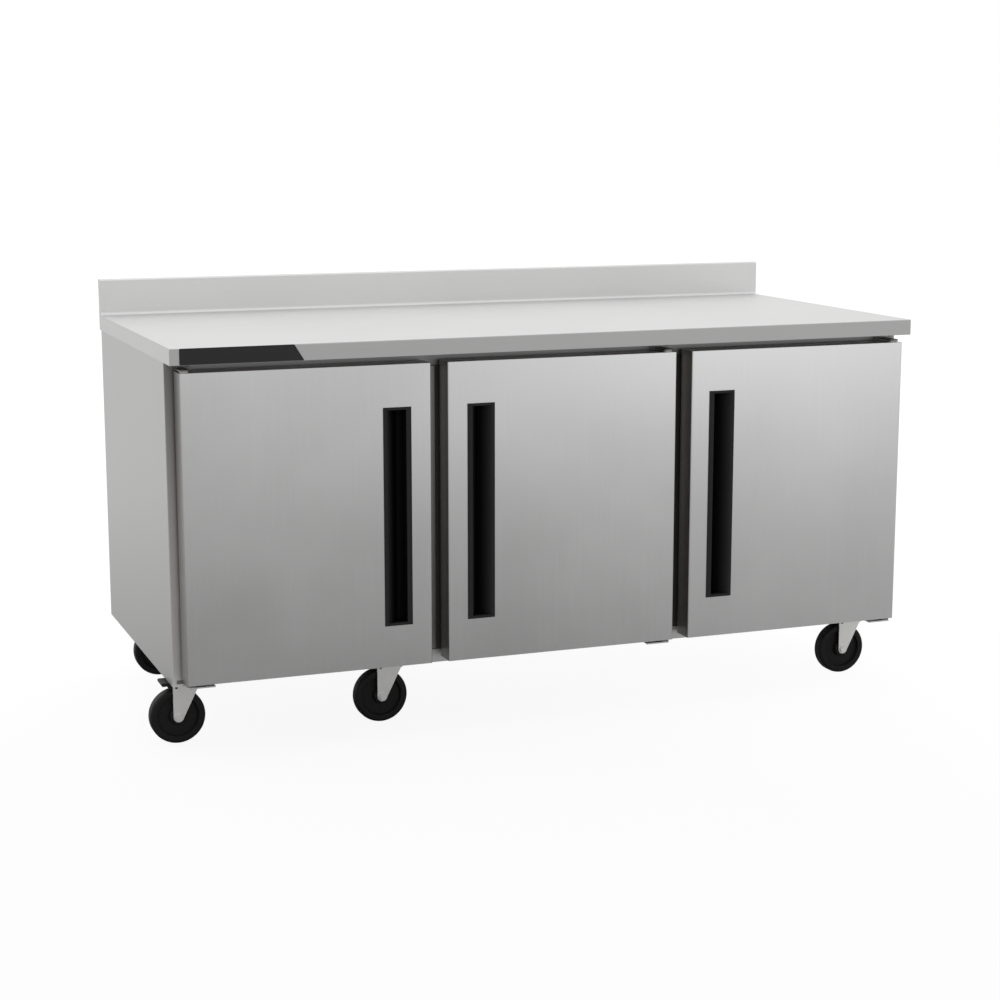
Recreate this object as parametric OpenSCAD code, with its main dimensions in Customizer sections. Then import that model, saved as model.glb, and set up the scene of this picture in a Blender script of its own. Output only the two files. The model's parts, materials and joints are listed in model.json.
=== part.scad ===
// Three-door worktop reach-in refrigerator on casters.
// Millimetres, +X to the right, +Y to the back, +Z up, floor at Z = 0.

/* [Overall size] */
// Width of the worktop
worktop_w = 1829; // [1780:1:1900]
// Depth of the worktop with its backsplash
worktop_d = 830; // [800:1:880]
// Height of the working surface above the floor
worktop_h = 914; // [900:1:960]

/* [Worktop] */
// Height of the worktop's front edge
edge_h = 37; // [32:1:44]
// Height of the backsplash above the working surface
splash_h = 89; // [60:1:130]
// Thickness of the hollow backsplash, front to back
splash_t = 25; // [20:1:32]
// Thickness of the worktop sheet
sheet_t = 1.2; // [0.8:0.1:1.6]
// Depth of the lip turned under the front edge
edge_lip = 14; // [10:1:20]
// Outside radius of the worktop's bends
bend_r = 3; // [2:0.5:5]
// Radius of the cove where the backsplash rises
cove_r = 8; // [5:1:14]

/* [Cabinet] */
// Height of the cabinet's underside above the floor
caster_h = 156; // [156:1:165]
// Distance from the worktop's end sheet in to the cabinet's side
side_inset = 0.3; // [0.3:0.1:5]
// Distance from the back of the worktop to the cabinet's back
rear_inset = 12; // [11:1:40]
// How far the side panels reach below the cabinet's underside
side_drop = 7; // [0:1:8]
// Thickness of the cabinet's outer sheets
skin_t = 1; // [0.8:0.1:1.4]
// Thickness of the plates on the cabinet's front face
face_t = 1.6; // [1.5:0.1:2]
// Width of the side panels' front flange
side_flange = 22; // [18:1:26]
// Width of the side panels' rear flange
rear_flange = 15; // [12:1:20]
// Outside radius of the side panels' bends
side_bend_r = 2; // [1.5:0.5:3]
// Thickness of the insulated rear wall
rear_wall_t = 50; // [44:1:58]
// Thickness of the inner liner
liner_t = 1; // [0.8:0.1:1.4]
// Glue line between neighbouring insulation panels
foam_joint = 0.3; // [0.3:0.1:0.8]
// Depth of the posts between the openings
post_d = 75; // [60:1:85]
// Wall of the plastic sleeve that lines each opening
sleeve_t = 2; // [1.5:0.1:3]
// Depth of that sleeve
sleeve_d = 40; // [25:1:55]

/* [Doors] */
// Thickness of a door without its gasket
door_t = 57; // [52:1:62]
// Gap between neighbouring doors
door_gap = 40; // [34:0.5:44]
// Distance from the cabinet's side to the outer door edge
door_reveal = 19.5; // [14:0.5:22]
// Gap between the worktop's edge and the doors
door_top_gap = 18; // [16:1:22]
// Height of the doors' bottom above the cabinet's underside
door_rise = 11; // [10:1:16]
// Distance of the door fronts behind the worktop's front edge
door_setback = 2; // [1:1:10]
// Space between a door's back and the cabinet's face
gasket_gap = 12; // [11:0.5:14]
// How far a door covers the frame round its opening
door_overlap = 30; // [29:1:34]
// Thickness of the door sheets
door_sheet = 1; // [0.8:0.1:1.2]
// Outside radius of the doors' upright front edges
door_r = 3; // [2:0.5:5]
// Distance of the raised inner panel from the door's edges
panel_inset = 45; // [40:1:60]
// Height of the raised inner panel
panel_rise = 8; // [4:1:9]
// Distance of the gasket from the door's edges
gasket_inset = 14; // [13:0.5:15]
// Width of the gasket
gasket_w = 14; // [12:0.5:15]
// Thickness of the gasket's foot
gasket_foot = 4; // [3:0.5:5]
// How much narrower the gasket's bulb is, on each side
gasket_step = 2; // [1:0.5:3]
// Gap left between the gasket and the cabinet's face
gasket_clear = 0.3; // [0.3:0.1:0.6]

/* [Handles] */
// Width of a recessed handle
handle_w = 66; // [60:1:72]
// Length of a recessed handle
handle_l = 500; // [400:5:560]
// Distance of the handle from the door's free edge
handle_in = 47; // [40:1:60]
// How far the handle's rim stands in front of the door
handle_proud = 2; // [1:0.5:3]
// Depth of the finger pocket behind the door's face
pocket_d = 27; // [22:1:30]
// Width of the flat grip band beside the pocket
grip_w = 12; // [8:1:13]
// Thickness of the grip band that the fingers hold
grip_t = 5; // [4:0.5:6]
// How far the pocket reaches behind the grip band
grip_undercut = 6; // [4:0.5:6.5]
// Width of the pocket's floor
pocket_w = 24; // [20:1:27]
// Width of the rim round the recess
handle_rim = 6; // [5:0.5:7]
// Wall of the handle's moulding
handle_wall = 2; // [1.5:0.1:2.5]
// Clearance of the handle in its cut-out
handle_clear = 0.3; // [0.2:0.1:0.5]

/* [Hinges] */
// Distance of a hinge pin from the door's hinge edge
pivot_in = 14; // [14:0.5:16]
// Distance of a hinge pin behind the door's front
pivot_y = 20; // [18:0.5:24]
// Radius of a hinge pin
pin_r = 5; // [4:0.1:6]
// Length of a hinge pin inside the door
pin_l = 20; // [14:1:24]
// Running clearance round pins and shafts
run_clear = 0.05; // [0.03:0.01:0.08]
// Wall of a hinge bush
bush_wall = 2.5; // [2:0.1:3]
// Width of a bush's collar
bush_collar = 2.5; // [2:0.1:3]
// Gap between a door and a hinge plate
hinge_gap = 3; // [2.5:0.1:3.5]
// Thickness of a hinge plate
hinge_t = 3; // [2.5:0.1:3.5]
// Half width of a hinge plate
hinge_half = 12; // [10:0.5:14]
// Gap at rest between pieces that turn on each other
seat_gap = 0.3; // [0.2:0.05:0.5]

/* [Casters] */
// Radius of a caster wheel
wheel_r = 63.5; // [60:0.5:64]
// Width of a wheel's tread
wheel_w = 32; // [28:1:34]
// Width of a wheel's hub
hub_w = 36; // [34.5:0.5:38]
// Distance of the axle behind the swivel axis
trail = 32; // [28:1:36]
// Distance of the front row's outer casters from the cabinet's side
caster_in_x = 55; // [50:1:90]
// How much farther in the rear row's outer casters stand
rear_row_in = 82; // [60:1:90]
// Distance of the middle casters from the cabinet's centre
caster_mid_x = 375; // [360:1:400]
// Distance of the casters from the cabinet's front and back
caster_in_y = 75; // [60:1:100]
// Length of a caster's top plate
top_plate_l = 95; // [86:1:104]
// Width of a caster's top plate
top_plate_w = 67; // [60:1:76]
// Thickness of a caster's top plate
top_plate_t = 3.5; // [3:0.1:4]
// Height of the ball race under the top plate
race_h = 8.5; // [7.5:0.1:9]
// Radius of the ball race
race_r = 23; // [20:0.5:25]
// Radius of the kingpin
kingpin_r = 6; // [5:0.1:7]
// Thickness of the fork's crown
crown_t = 5.7; // [5:0.1:6]
// Thickness of a fork leg
leg_t = 3.5; // [3:0.1:4]
// Radius of the fork's rounded tip
tip_r = 12; // [11:0.5:14]
// Radius of the axle
axle_r = 5; // [4:0.1:5.5]
// Height of the nut under the fork's crown
king_nut_h = 4.2; // [3.5:0.1:4.5]
// Length of a brake pedal from its pin
pedal_l = 34; // [32:1:38]
// Radius of a brake pedal's pin
pedal_pin_r = 3; // [2.5:0.1:3.2]
// Half width of a brake pedal's tread
pedal_half = 24; // [20:1:26]

/* [Inside] */
// Half width of the machine bay
bay_x = 330; // [320:1:350]
// Depth of the machine bay
bay_d = 187; // [180:1:200]
// Height of the machine bay
bay_h = 324; // [310:1:340]
// Thickness of the insulation round the machine bay
bay_wall = 40; // [36:1:44]
// Height of the shelves above the machine bay's hump
shelf_lift = 15; // [13:1:30]
// Diameter of the shelves' frame rods
rod_d = 6; // [5:0.5:7]
// Diameter of the shelves' wires
wire_d = 3.2; // [2.5:0.1:4]
// Distance between the shelves' wires
wire_pitch = 26; // [22:1:34]
// Gap between a shelf and the wall beside it
shelf_gap = 12; // [10:1:14]
// Width of a shelf pilaster
pilaster_w = 24; // [20:1:28]
// Depth of a shelf pilaster
pilaster_d = 9; // [7:0.5:10]
// Distance between the slots of a pilaster
slot_pitch = 25; // [20:1:40]
// Half width of the evaporator cover
cover_x = 240; // [236:1:260]
// Depth of the evaporator cover
cover_d = 97; // [95:1:104]
// Gap between the evaporator cover and the roof of the inside
cover_gap = 50; // [40:1:60]
// Thickness of the cover, tray and grille sheets
trim_t = 1.2; // [1:0.1:1.5]
// Height of the drip tray
tray_h = 14; // [12:1:16]
// Height of the cover's face above and below the evaporator fan's opening
fan_margin = 34; // [30:1:40]
// Gap between the evaporator fan's blades and its opening
fan_clear = 6; // [5:0.5:8]
// Radius of the condenser fan
cond_fan_r = 100; // [90:1:104]
// Radius of the fan shafts
shaft_r = 4; // [3:0.1:5]
// Distance between coil fins
fin_pitch = 12; // [10:0.5:16]
// Thickness of a coil fin
fin_t = 1.5; // [1:0.1:2]
// Radius of the compressor's shell
pot_r = 75; // [70:1:78]
// Height of the compressor's shell
pot_h = 180; // [160:1:200]
// Radius of the refrigerant lines
line_r = 5; // [4:0.1:6]
// Distance between the rear grille's louvres
louvre_pitch = 24; // [21:1:30]

/* [Hidden] */
$fn = 64;

// Worktop
front_y = -worktop_d / 2;
rear_y = worktop_d / 2;
splash_y = rear_y - splash_t;
splash_top = worktop_h + splash_h;
edge_bot = worktop_h - edge_h;

// Cabinet
cab_w = worktop_w - 2 * (sheet_t + side_inset);
cab_x = cab_w / 2;
cab_bot = caster_h;
cab_top = edge_bot + sheet_t;
cab_rear = rear_y - rear_inset;

// Doors and the openings behind them
door_front = front_y + door_setback;
cab_front = door_front + door_t + gasket_gap;
door_w = (cab_w - 2 * door_reveal - 2 * door_gap) / 3;
door_pitch = door_w + door_gap;
door_bot = cab_bot + door_rise;
door_top = edge_bot - door_top_gap;
door_h = door_top - door_bot;
open_w = door_w - 2 * door_overlap;
open_bot = door_bot + door_overlap;
open_top = door_top - door_overlap;
rail_cover = gasket_inset - 1;
header_bot = door_top - rail_cover;
sill_top = door_bot + rail_cover;

// Inside of the cabinet
in_x = door_pitch + open_w / 2;
in_rear = cab_rear - rear_wall_t;
face_back = cab_front + face_t;
post_half = (door_gap + 2 * door_overlap) / 2;
post_back = face_back + post_d;
rear_in = cab_rear - skin_t;
foam_back = rear_in - foam_joint;
foam_bot = cab_bot + skin_t;
foam_out = cab_x - skin_t - foam_joint;
foam_in = in_x + liner_t;

// Machine bay and its hump inside the cabinet
bay_front = cab_rear - bay_d;
bay_top = cab_bot + bay_h;
hump_x = bay_x + bay_wall;
hump_front = bay_front - bay_wall;
hump_top = bay_top + bay_wall;
line_in = 18;
line_back = 22;
line_room = 9;
line_x = -cover_x + line_in;
line_y = in_rear - line_back;
line_hole_r = line_r + line_room;

// Shelves
shelf_z = hump_top + liner_t + shelf_lift;
shelf_low = shelf_z - rod_d / 2;
shelf_setback = 14;
shelf_front = post_back + shelf_setback;
shelf_back = in_rear - shelf_gap;
shelf_mid_back = in_rear - cover_d - shelf_gap;
shelf_side = in_x - shelf_gap;
shelf_split = door_pitch / 2;
pilaster_end = 30;
pilaster_in = 60;
pilaster_bot = open_bot + pilaster_end;
pilaster_top = open_top - pilaster_end;
clip_t = 8;
clip_reach = 24;

// Evaporator, whose cover fills the height between the hump and the roof
tray_lift = 4;
tray_bot = hump_top + liner_t + tray_lift;
cover_bot = tray_bot + tray_h;
cover_top = open_top - cover_gap;
cover_h = cover_top - cover_bot;
cover_front = in_rear - cover_d;
evap_z = (cover_bot + cover_top) / 2;
fan_hole_r = cover_h / 2 - fan_margin;
evap_fan_r = fan_hole_r - fan_clear;
evap_hub_r = 24;
evap_end_gap = 40;
evap_coil_gap = 18;
evap_half = cover_x - evap_end_gap;
evap_coil_d = 32;
evap_coil_h = cover_h - 2 * evap_coil_gap;
coil_bends = 4;
evap_coil_y = in_rear - evap_coil_d / 2 - 1;
evap_fan_l = 24;
evap_fan_set = 7;
evap_fan_y = cover_front + evap_fan_set;
guard_rod = 1.5;

// Condensing unit
unit_y = (bay_front + cab_rear) / 2;
pot_x = -190;
pot_lift = 18;
pot_z = foam_bot + pot_lift;
pot_dome = 34;
pot_seam = 4;
pot_foot_r = 13;
pot_base_t = 6;
terminal_w = 56;
terminal_h = 50;
terminal_d = 48;
cond_x = 130;
cond_lift = 164;
cond_z = foam_bot + cond_lift;
cond_half = 120;
cond_coil_d = 46;
cond_hub_r = 26;
shroud_gap = 16;
shroud_t = 2;
cond_rear_gap = 12;
cond_fan_gap = 16;
cond_coil_y = cab_rear - cond_rear_gap - cond_coil_d / 2;
cond_fan_l = 30;
cond_fan_y = cond_coil_y - cond_coil_d / 2 - cond_fan_gap - cond_fan_l;
motor_r = 34;
motor_l = 44;
motor_gap = 5;
louvre_reach = 8;
grille_lap = 12;
control_w = 42;
control_d = 90;
control_h = 100;
control_drop = 30;
control_lid = 3;
gland_x = -bay_x + 50;
gland_z = cab_bot + 36;
gland_r = 9;

// Hinges
bush_r = pin_r + run_clear + bush_wall;
collar_r = bush_r + bush_collar;
collar_t = hinge_gap - seat_gap;

// Handle outline, from the free-edge side of its rim
handle_back = pocket_d + handle_wall;
ramp_end = handle_w - handle_rim;

// Casters
axle_z = wheel_r;
plate_bot = caster_h - top_plate_t;
race_bot = plate_bot - race_h;
crown_top = race_bot - seat_gap;
crown_bot = crown_top - crown_t;
leg_in = hub_w / 2 + 0.4;
leg_out = leg_in + leg_t;
pedal_x = -trail - 4;
pedal_z = crown_bot - 5;
pedal_boss = 4.5;
caster_front_y = cab_front + caster_in_y;
caster_rear_y = cab_rear - caster_in_y;
caster_out_x = cab_x - caster_in_x;
rear_out_x = caster_out_x - rear_row_in;
caster_at = concat(
    [for (x = [-caster_out_x, -caster_mid_x, caster_out_x]) [x, caster_front_y, 0]],
    [for (x = [-rear_out_x, -caster_mid_x, rear_out_x]) [x, caster_rear_y, 0]]
);

// The wheels trail to the left, past the worktop's end: this centres the whole on X = 0
frame_x = (caster_out_x + trail + wheel_r - worktop_w / 2) / 2;

module framed() {
    translate([frame_x, 0, 0])
        children();
}

// Points along an arc from angle a0 to angle a1
function arc(c, r, a0, a1, n = 5) =
    [for (i = [0:n]) c + r * [cos(a0 + (a1 - a0) * i / n), sin(a0 + (a1 - a0) * i / n)]];

// Box between two corners
module slab(lo, hi) {
    translate(lo)
        cube(hi - lo);
}

// Extrudes a (y, z) outline along X, centred
module along_x(length) {
    rotate([90, 0, 90])
        linear_extrude(length, center = true)
            children();
}

// Extrudes an (x, z) outline along Y, from y0 to y1
module along_y(y0, y1) {
    translate([0, y1, 0])
        rotate([90, 0, 0])
            linear_extrude(y1 - y0)
                children();
}

// Flat (x, z) rectangle between two corners
module rect(lo, hi) {
    translate(lo)
        square(hi - lo);
}

// Round rod between two points
module rod(a, b, r, sides = 64) {
    d = b - a;
    translate(a)
        rotate([0, acos(d.z / norm(d)), atan2(d.y, d.x)])
            cylinder(r = r, h = norm(d), $fn = sides);
}

// Pipe through a list of points, with fuller elbows at its corners
module pipe(points, r) {
    for (i = [0:len(points) - 2])
        rod(points[i], points[i + 1], r);
    for (i = [1:len(points) - 2])
        translate(points[i])
            sphere(r = r + 0.8);
}

// Worktop

function worktop_outline(o, low) = concat(
    [[front_y + o, low]],
    arc([front_y + bend_r, worktop_h - bend_r], bend_r - o, 180, 90),
    arc([splash_y - cove_r, worktop_h + cove_r], cove_r + o, 270, 360),
    arc([splash_y + bend_r, splash_top - bend_r], bend_r - o, 180, 90),
    arc([rear_y - bend_r, splash_top - bend_r], bend_r - o, 90, 0),
    [[rear_y - o, low]]
);

module worktop() {
    inner_w = worktop_w - 2 * sheet_t;
    color([0.82, 0.82, 0.81])
        difference() {
            along_x(worktop_w)
                polygon(worktop_outline(0, edge_bot));
            along_x(inner_w)
                polygon(worktop_outline(sheet_t, cab_top));
            slab(
                [-inner_w / 2, front_y + edge_lip, edge_bot - sheet_t],
                [inner_w / 2, rear_y - sheet_t, cab_top + sheet_t]
            );
        }
}

module worktop_core() {
    core_w = worktop_w - 2 * sheet_t;
    board = [
        [front_y + sheet_t, cab_top],
        [front_y + sheet_t, worktop_h - bend_r],
        [front_y + bend_r, worktop_h - sheet_t],
        [rear_y - sheet_t, worktop_h - sheet_t],
        [rear_y - sheet_t, cab_top]
    ];
    color([0.72, 0.62, 0.46]) {
        along_x(core_w)
            polygon(board);
        slab(
            [-core_w / 2, splash_y + sheet_t, worktop_h - sheet_t + foam_joint],
            [core_w / 2, rear_y - sheet_t, splash_top - bend_r]
        );
    }
}

// Cabinet shell

// Side panel at the left: a sheet with a front and a rear flange
module side_panel() {
    inner_r = side_bend_r - skin_t;
    outline = concat(
        [[-cab_x + side_flange, cab_front + skin_t], [-cab_x + side_flange, cab_front]],
        arc([-cab_x + side_bend_r, cab_front + side_bend_r], side_bend_r, 270, 180),
        arc([-cab_x + side_bend_r, cab_rear - side_bend_r], side_bend_r, 180, 90),
        [[-cab_x + rear_flange, cab_rear], [-cab_x + rear_flange, cab_rear - skin_t]],
        arc([-cab_x + side_bend_r, cab_rear - side_bend_r], inner_r, 90, 180),
        arc([-cab_x + side_bend_r, cab_front + side_bend_r], inner_r, 180, 270)
    );
    color([0.78, 0.78, 0.77])
        translate([0, 0, cab_bot - side_drop])
            linear_extrude(cab_top - cab_bot + side_drop)
                polygon(outline);
}

module left_side_panel() {
    side_panel();
}

module right_side_panel() {
    mirror([1, 0, 0])
        side_panel();
}

module rear_panel() {
    half = cab_x - rear_flange - foam_joint;
    color([0.68, 0.69, 0.69])
        along_y(rear_in, cab_rear)
            difference() {
                rect([-half, cab_bot], [half, cab_top]);
                rect([-bay_x, cab_bot - 1], [bay_x, bay_top]);
            }
}

module base_panel() {
    half = cab_x - skin_t - foam_joint;
    color([0.68, 0.69, 0.69])
        slab([-half, face_back, cab_bot], [half, foam_back, foam_bot]);
}

// Hole for the refrigerant lines through the roof of the machine bay
module line_hole() {
    translate([line_x, line_y, bay_top - 1])
        cylinder(r = line_hole_r, h = bay_wall + liner_t + 2);
}

module cabinet_insulation() {
    j = foam_joint;
    floor_top = open_bot - liner_t;
    roof_bot = open_top + liner_t;
    wall_y = in_rear + liner_t;
    color([0.93, 0.87, 0.68]) {
        for (side = [0, 1])
            mirror([side, 0, 0]) {
                slab([foam_in, face_back, foam_bot], [foam_out, foam_back, cab_top]);
                slab([hump_x + j, hump_front, foam_bot], [foam_in - j, foam_back, floor_top]);
                slab([hump_x + j, wall_y, floor_top + j], [foam_in - j, foam_back, roof_bot - j]);
                slab([bay_x, bay_front + j, foam_bot], [hump_x, foam_back, hump_top]);
            }
        slab([-foam_in + j, face_back, roof_bot], [foam_in - j, foam_back, cab_top]);
        slab([-foam_in + j, face_back, foam_bot], [foam_in - j, hump_front - j, floor_top]);
        slab([-hump_x, hump_front, foam_bot], [hump_x, bay_front, hump_top]);
        slab([-hump_x, wall_y, hump_top + j], [hump_x, foam_back, roof_bot - j]);
        difference() {
            slab([-bay_x + j, bay_front + j, bay_top], [bay_x - j, foam_back, hump_top]);
            line_hole();
        }
    }
}

// Lining of the inside, raised over the machine bay
module inner_liner() {
    color([0.86, 0.87, 0.87])
        difference() {
            slab(
                [-foam_in, face_back, open_bot - liner_t],
                [foam_in, in_rear + liner_t, open_top + liner_t]
            );
            difference() {
                slab([-in_x, face_back - 1, open_bot], [in_x, in_rear, open_top]);
                slab(
                    [-hump_x - liner_t, hump_front - liner_t, open_bot - 1],
                    [hump_x + liner_t, in_rear + 1, hump_top + liner_t]
                );
            }
            slab(
                [-hump_x, hump_front, open_bot - liner_t - 1],
                [hump_x, in_rear + liner_t + 1, hump_top]
            );
            line_hole();
        }
}

// Plastic frame round the three openings, with a sleeve into each
module breaker_frame() {
    half = cab_x - side_flange - foam_joint;
    color([0.10, 0.10, 0.11]) {
        along_y(cab_front, face_back)
            difference() {
                rect([-half, sill_top + foam_joint], [half, header_bot - foam_joint]);
                for (i = [-1, 0, 1])
                    translate([i * door_pitch, 0])
                        rect(
                            [-open_w / 2 + sleeve_t, open_bot + sleeve_t],
                            [open_w / 2 - sleeve_t, open_top - sleeve_t]
                        );
            }
        along_y(face_back - sheet_t, face_back + sleeve_d)
            for (i = [-1, 0, 1])
                translate([i * door_pitch, 0])
                    difference() {
                        rect([-open_w / 2, open_bot], [open_w / 2, open_top]);
                        rect(
                            [-open_w / 2 + sleeve_t, open_bot + sleeve_t],
                            [open_w / 2 - sleeve_t, open_top - sleeve_t]
                        );
                    }
    }
}

// Header, sill and the two posts between the openings
module front_frame() {
    half = cab_x - side_flange - foam_joint;
    post_r = 8;
    post = concat(
        [[-post_half, face_back]],
        arc([-post_half + post_r, post_back - post_r], post_r, 180, 90),
        arc([post_half - post_r, post_back - post_r], post_r, 90, 0),
        [[post_half, face_back]]
    );
    color([0.74, 0.74, 0.73]) {
        slab([-half, cab_front, header_bot], [half, face_back, cab_top]);
        slab([-half, cab_front, cab_bot], [half, face_back, sill_top]);
        for (side = [-1, 1])
            translate([side * door_pitch / 2, 0, open_bot])
                linear_extrude(open_top - open_bot)
                    polygon(post);
    }
}

// Shelves

// Welded wire shelf between two corners on plan
module wire_shelf(lo, hi) {
    inset = rod_d / 2;
    wire_z = shelf_z + (rod_d + wire_d) / 2 - 0.5;
    count = floor((hi.x - lo.x - 2 * rod_d) / wire_pitch);
    first = (lo.x + hi.x - count * wire_pitch) / 2;
    cross = [lo.y + inset, lo.y + (hi.y - lo.y) / 3, lo.y + (hi.y - lo.y) * 2 / 3, hi.y - inset];
    color([0.80, 0.81, 0.82]) {
        for (y = cross)
            rod([lo.x, y, shelf_z], [hi.x, y, shelf_z], rod_d / 2, 8);
        for (x = [lo.x + inset, hi.x - inset])
            rod([x, lo.y + 0.2, shelf_z], [x, hi.y - 0.2, shelf_z], rod_d / 2 - 0.2, 8);
        for (i = [0:count])
            rod(
                [first + i * wire_pitch, lo.y + 1, wire_z],
                [first + i * wire_pitch, hi.y - 1, wire_z],
                wire_d / 2, 8
            );
    }
}

module shelf_left() {
    wire_shelf([-shelf_side, shelf_front], [-shelf_split - shelf_gap / 2, shelf_back]);
}

module shelf_centre() {
    half = shelf_split - shelf_gap / 2;
    wire_shelf([-half, shelf_front], [half, shelf_mid_back]);
}

module shelf_right() {
    wire_shelf([shelf_split + shelf_gap / 2, shelf_front], [shelf_side, shelf_back]);
}

// Slotted strip that stands out along +Y from y = 0, with the clip that carries a shelf's corner
module pilaster() {
    slots = floor((pilaster_top - pilaster_bot - slot_pitch) / slot_pitch);
    along_y(0, pilaster_d)
        difference() {
            rect([-pilaster_w / 2, pilaster_bot], [pilaster_w / 2, pilaster_top]);
            for (i = [1:slots])
                translate([0, pilaster_bot + i * slot_pitch])
                    square([pilaster_w / 2, slot_pitch / 4], center = true);
        }
    slab(
        [-pilaster_w / 3, pilaster_d, shelf_low - clip_t],
        [pilaster_w / 3, pilaster_d + clip_reach, shelf_low]
    );
}

module shelf_supports() {
    inner_x = shelf_split + pilaster_w / 2 + shelf_gap / 2 + 1;
    beside_hump = hump_x + liner_t + pilaster_w / 2 + 6;
    far_x = shelf_side - pilaster_in;
    stud = 22;
    color([0.76, 0.77, 0.78])
        for (side = [0, 1])
            mirror([side, 0, 0]) {
                for (x = [beside_hump, far_x])
                    translate([x, in_rear, 0])
                        mirror([0, 1, 0])
                            pilaster();
                for (x = [inner_x, 2 * shelf_split - inner_x])
                    translate([x, post_back, 0])
                        pilaster();
                translate([in_x, shelf_front + pilaster_in, 0])
                    rotate(90)
                        pilaster();
                translate([shelf_split - 50 - stud, shelf_mid_back - stud, hump_top + liner_t])
                    cube([stud, stud, shelf_low - hump_top - liner_t]);
            }
}

// Refrigeration

// Finned coil centred on the origin: fins across X on a spine, end plates and return bends
module finned_coil(half_w, depth, height) {
    fins = floor((2 * half_w - fin_t) / fin_pitch);
    x0 = -(fins * fin_pitch + fin_t) / 2;
    edge = function(side) [
        for (i = [0:fins])
            let (x = x0 + i * fin_pitch)
                each [
                    [x, side * depth / 6], [x, side * depth / 2],
                    [x + fin_t, side * depth / 2], [x + fin_t, side * depth / 6]
                ]
    ];
    front = edge(-1);
    back = edge(1);
    bend_pitch = height / (2 * coil_bends);
    tube_r = 4;
    translate([0, 0, -height / 2])
        linear_extrude(height)
            polygon(concat(front, [for (i = [len(back) - 1:-1:0]) back[i]]));
    for (side = [0, 1])
        mirror([side, 0, 0])
            for (i = [0:coil_bends - 1])
                translate([-x0, 0, (i - (coil_bends - 1) / 2) * 2 * bend_pitch])
                    rotate([90, 0, 0])
                        rotate(-90)
                            rotate_extrude(angle = 180)
                                translate([bend_pitch / 2, 0])
                                    circle(r = tube_r);
}

// Fan rotor along +Z, with a blind bore for its shaft at z = 0
module fan_rotor(r, hub_r, depth, blades) {
    blade_t = 2;
    blade_tilt = 32;
    chord = depth * 1.5;
    difference() {
        union() {
            cylinder(r = hub_r, h = depth);
            intersection() {
                cylinder(r = r, h = depth);
                for (i = [0:blades - 1])
                    rotate(i * 360 / blades)
                        translate([hub_r * 0.8, 0, depth / 2])
                            rotate([blade_tilt, 0, 0])
                                translate([0, -chord / 2, -blade_t / 2])
                                    cube([r, chord, blade_t]);
            }
        }
        translate([0, 0, -1])
            cylinder(r = shaft_r + run_clear, h = depth / 2 + 1);
    }
}

module evaporator_coil() {
    color([0.80, 0.82, 0.84]) {
        translate([0, evap_coil_y, evap_z])
            finned_coil(evap_half, evap_coil_d, evap_coil_h);
        for (side = [-1, 1])
            slab(
                [side * evap_half / 2 - 10, evap_coil_y + evap_coil_d / 6, evap_z - 6],
                [side * evap_half / 2 + 10, in_rear, evap_z + 6]
            );
    }
}

// Cover over the evaporator: open at the back and below, with a guarded fan hole and outlet slots
module evaporator_cover() {
    hole_r = fan_hole_r;
    guard_y = cover_front - guard_rod;
    slots = 5;
    slot_w = 6;
    color([0.84, 0.85, 0.85]) {
        difference() {
            slab([-cover_x, cover_front, cover_bot], [cover_x, in_rear, cover_top]);
            slab(
                [-cover_x + trim_t, cover_front + trim_t, cover_bot - 1],
                [cover_x - trim_t, in_rear + 1, cover_top - trim_t]
            );
            along_y(cover_front - 1, cover_front + trim_t + 1) {
                translate([0, evap_z])
                    circle(r = hole_r);
                for (side = [-1, 1], i = [0:slots - 1])
                    translate([side * (hole_r + cover_x) / 2, evap_z + (i - (slots - 1) / 2) * 5 * slot_w])
                        square([cover_x - hole_r - 50, slot_w], center = true);
            }
        }
        for (r = [hole_r / 4:hole_r / 4:hole_r])
            translate([0, guard_y, evap_z])
                rotate([90, 0, 0])
                    rotate_extrude()
                        translate([r + 1, 0])
                            circle(r = guard_rod);
        for (a = [45, 135])
            translate([0, guard_y, evap_z])
                rotate([0, a, 0])
                    translate([0, 0, -hole_r - 4])
                        cylinder(r = guard_rod - 0.2, h = 2 * hole_r + 8);
    }
}

module fan_motors() {
    evap_y = evap_fan_y + evap_fan_l + motor_gap;
    evap_l = evap_coil_y - evap_coil_d / 2 - 3 - evap_y;
    cond_y = cond_fan_y - motor_gap;
    arm = 5;
    stand = 22;
    post_at = evap_fan_r + 12;
    color([0.20, 0.21, 0.22]) {
        translate([0, evap_y, evap_z])
            rotate([-90, 0, 0])
                cylinder(r = motor_r - 6, h = evap_l);
        rod([0, evap_y - motor_gap - evap_fan_l / 3, evap_z], [0, evap_y + 1, evap_z], shaft_r);
        for (a = [45:90:315])
            translate([0, 0, evap_z])
                rotate([0, a, 0]) {
                    slab([-arm, evap_y + 2, 0], [arm, evap_y + 2 + arm, post_at + arm]);
                    slab(
                        [-arm, cover_front + trim_t, post_at - arm],
                        [arm, evap_y + 2 + arm, post_at + arm]
                    );
                }
        translate([cond_x, cond_y - motor_l, cond_z])
            rotate([-90, 0, 0])
                cylinder(r = motor_r, h = motor_l);
        rod([cond_x, cond_y - 1, cond_z], [cond_x, cond_fan_y + cond_fan_l / 3, cond_z], shaft_r);
        slab(
            [cond_x - stand, cond_y - motor_l + 8, foam_bot + 4],
            [cond_x + stand, cond_y - 8, cond_z]
        );
        slab(
            [cond_x - 2 * stand, cond_y - motor_l, foam_bot],
            [cond_x + 2 * stand, cond_y, foam_bot + 4]
        );
    }
}

module evaporator_fan() {
    color([0.16, 0.16, 0.17])
        translate([0, evap_fan_y + evap_fan_l, evap_z])
            rotate([90, 0, 0])
                fan_rotor(evap_fan_r, evap_hub_r, evap_fan_l, 5);
}

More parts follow.
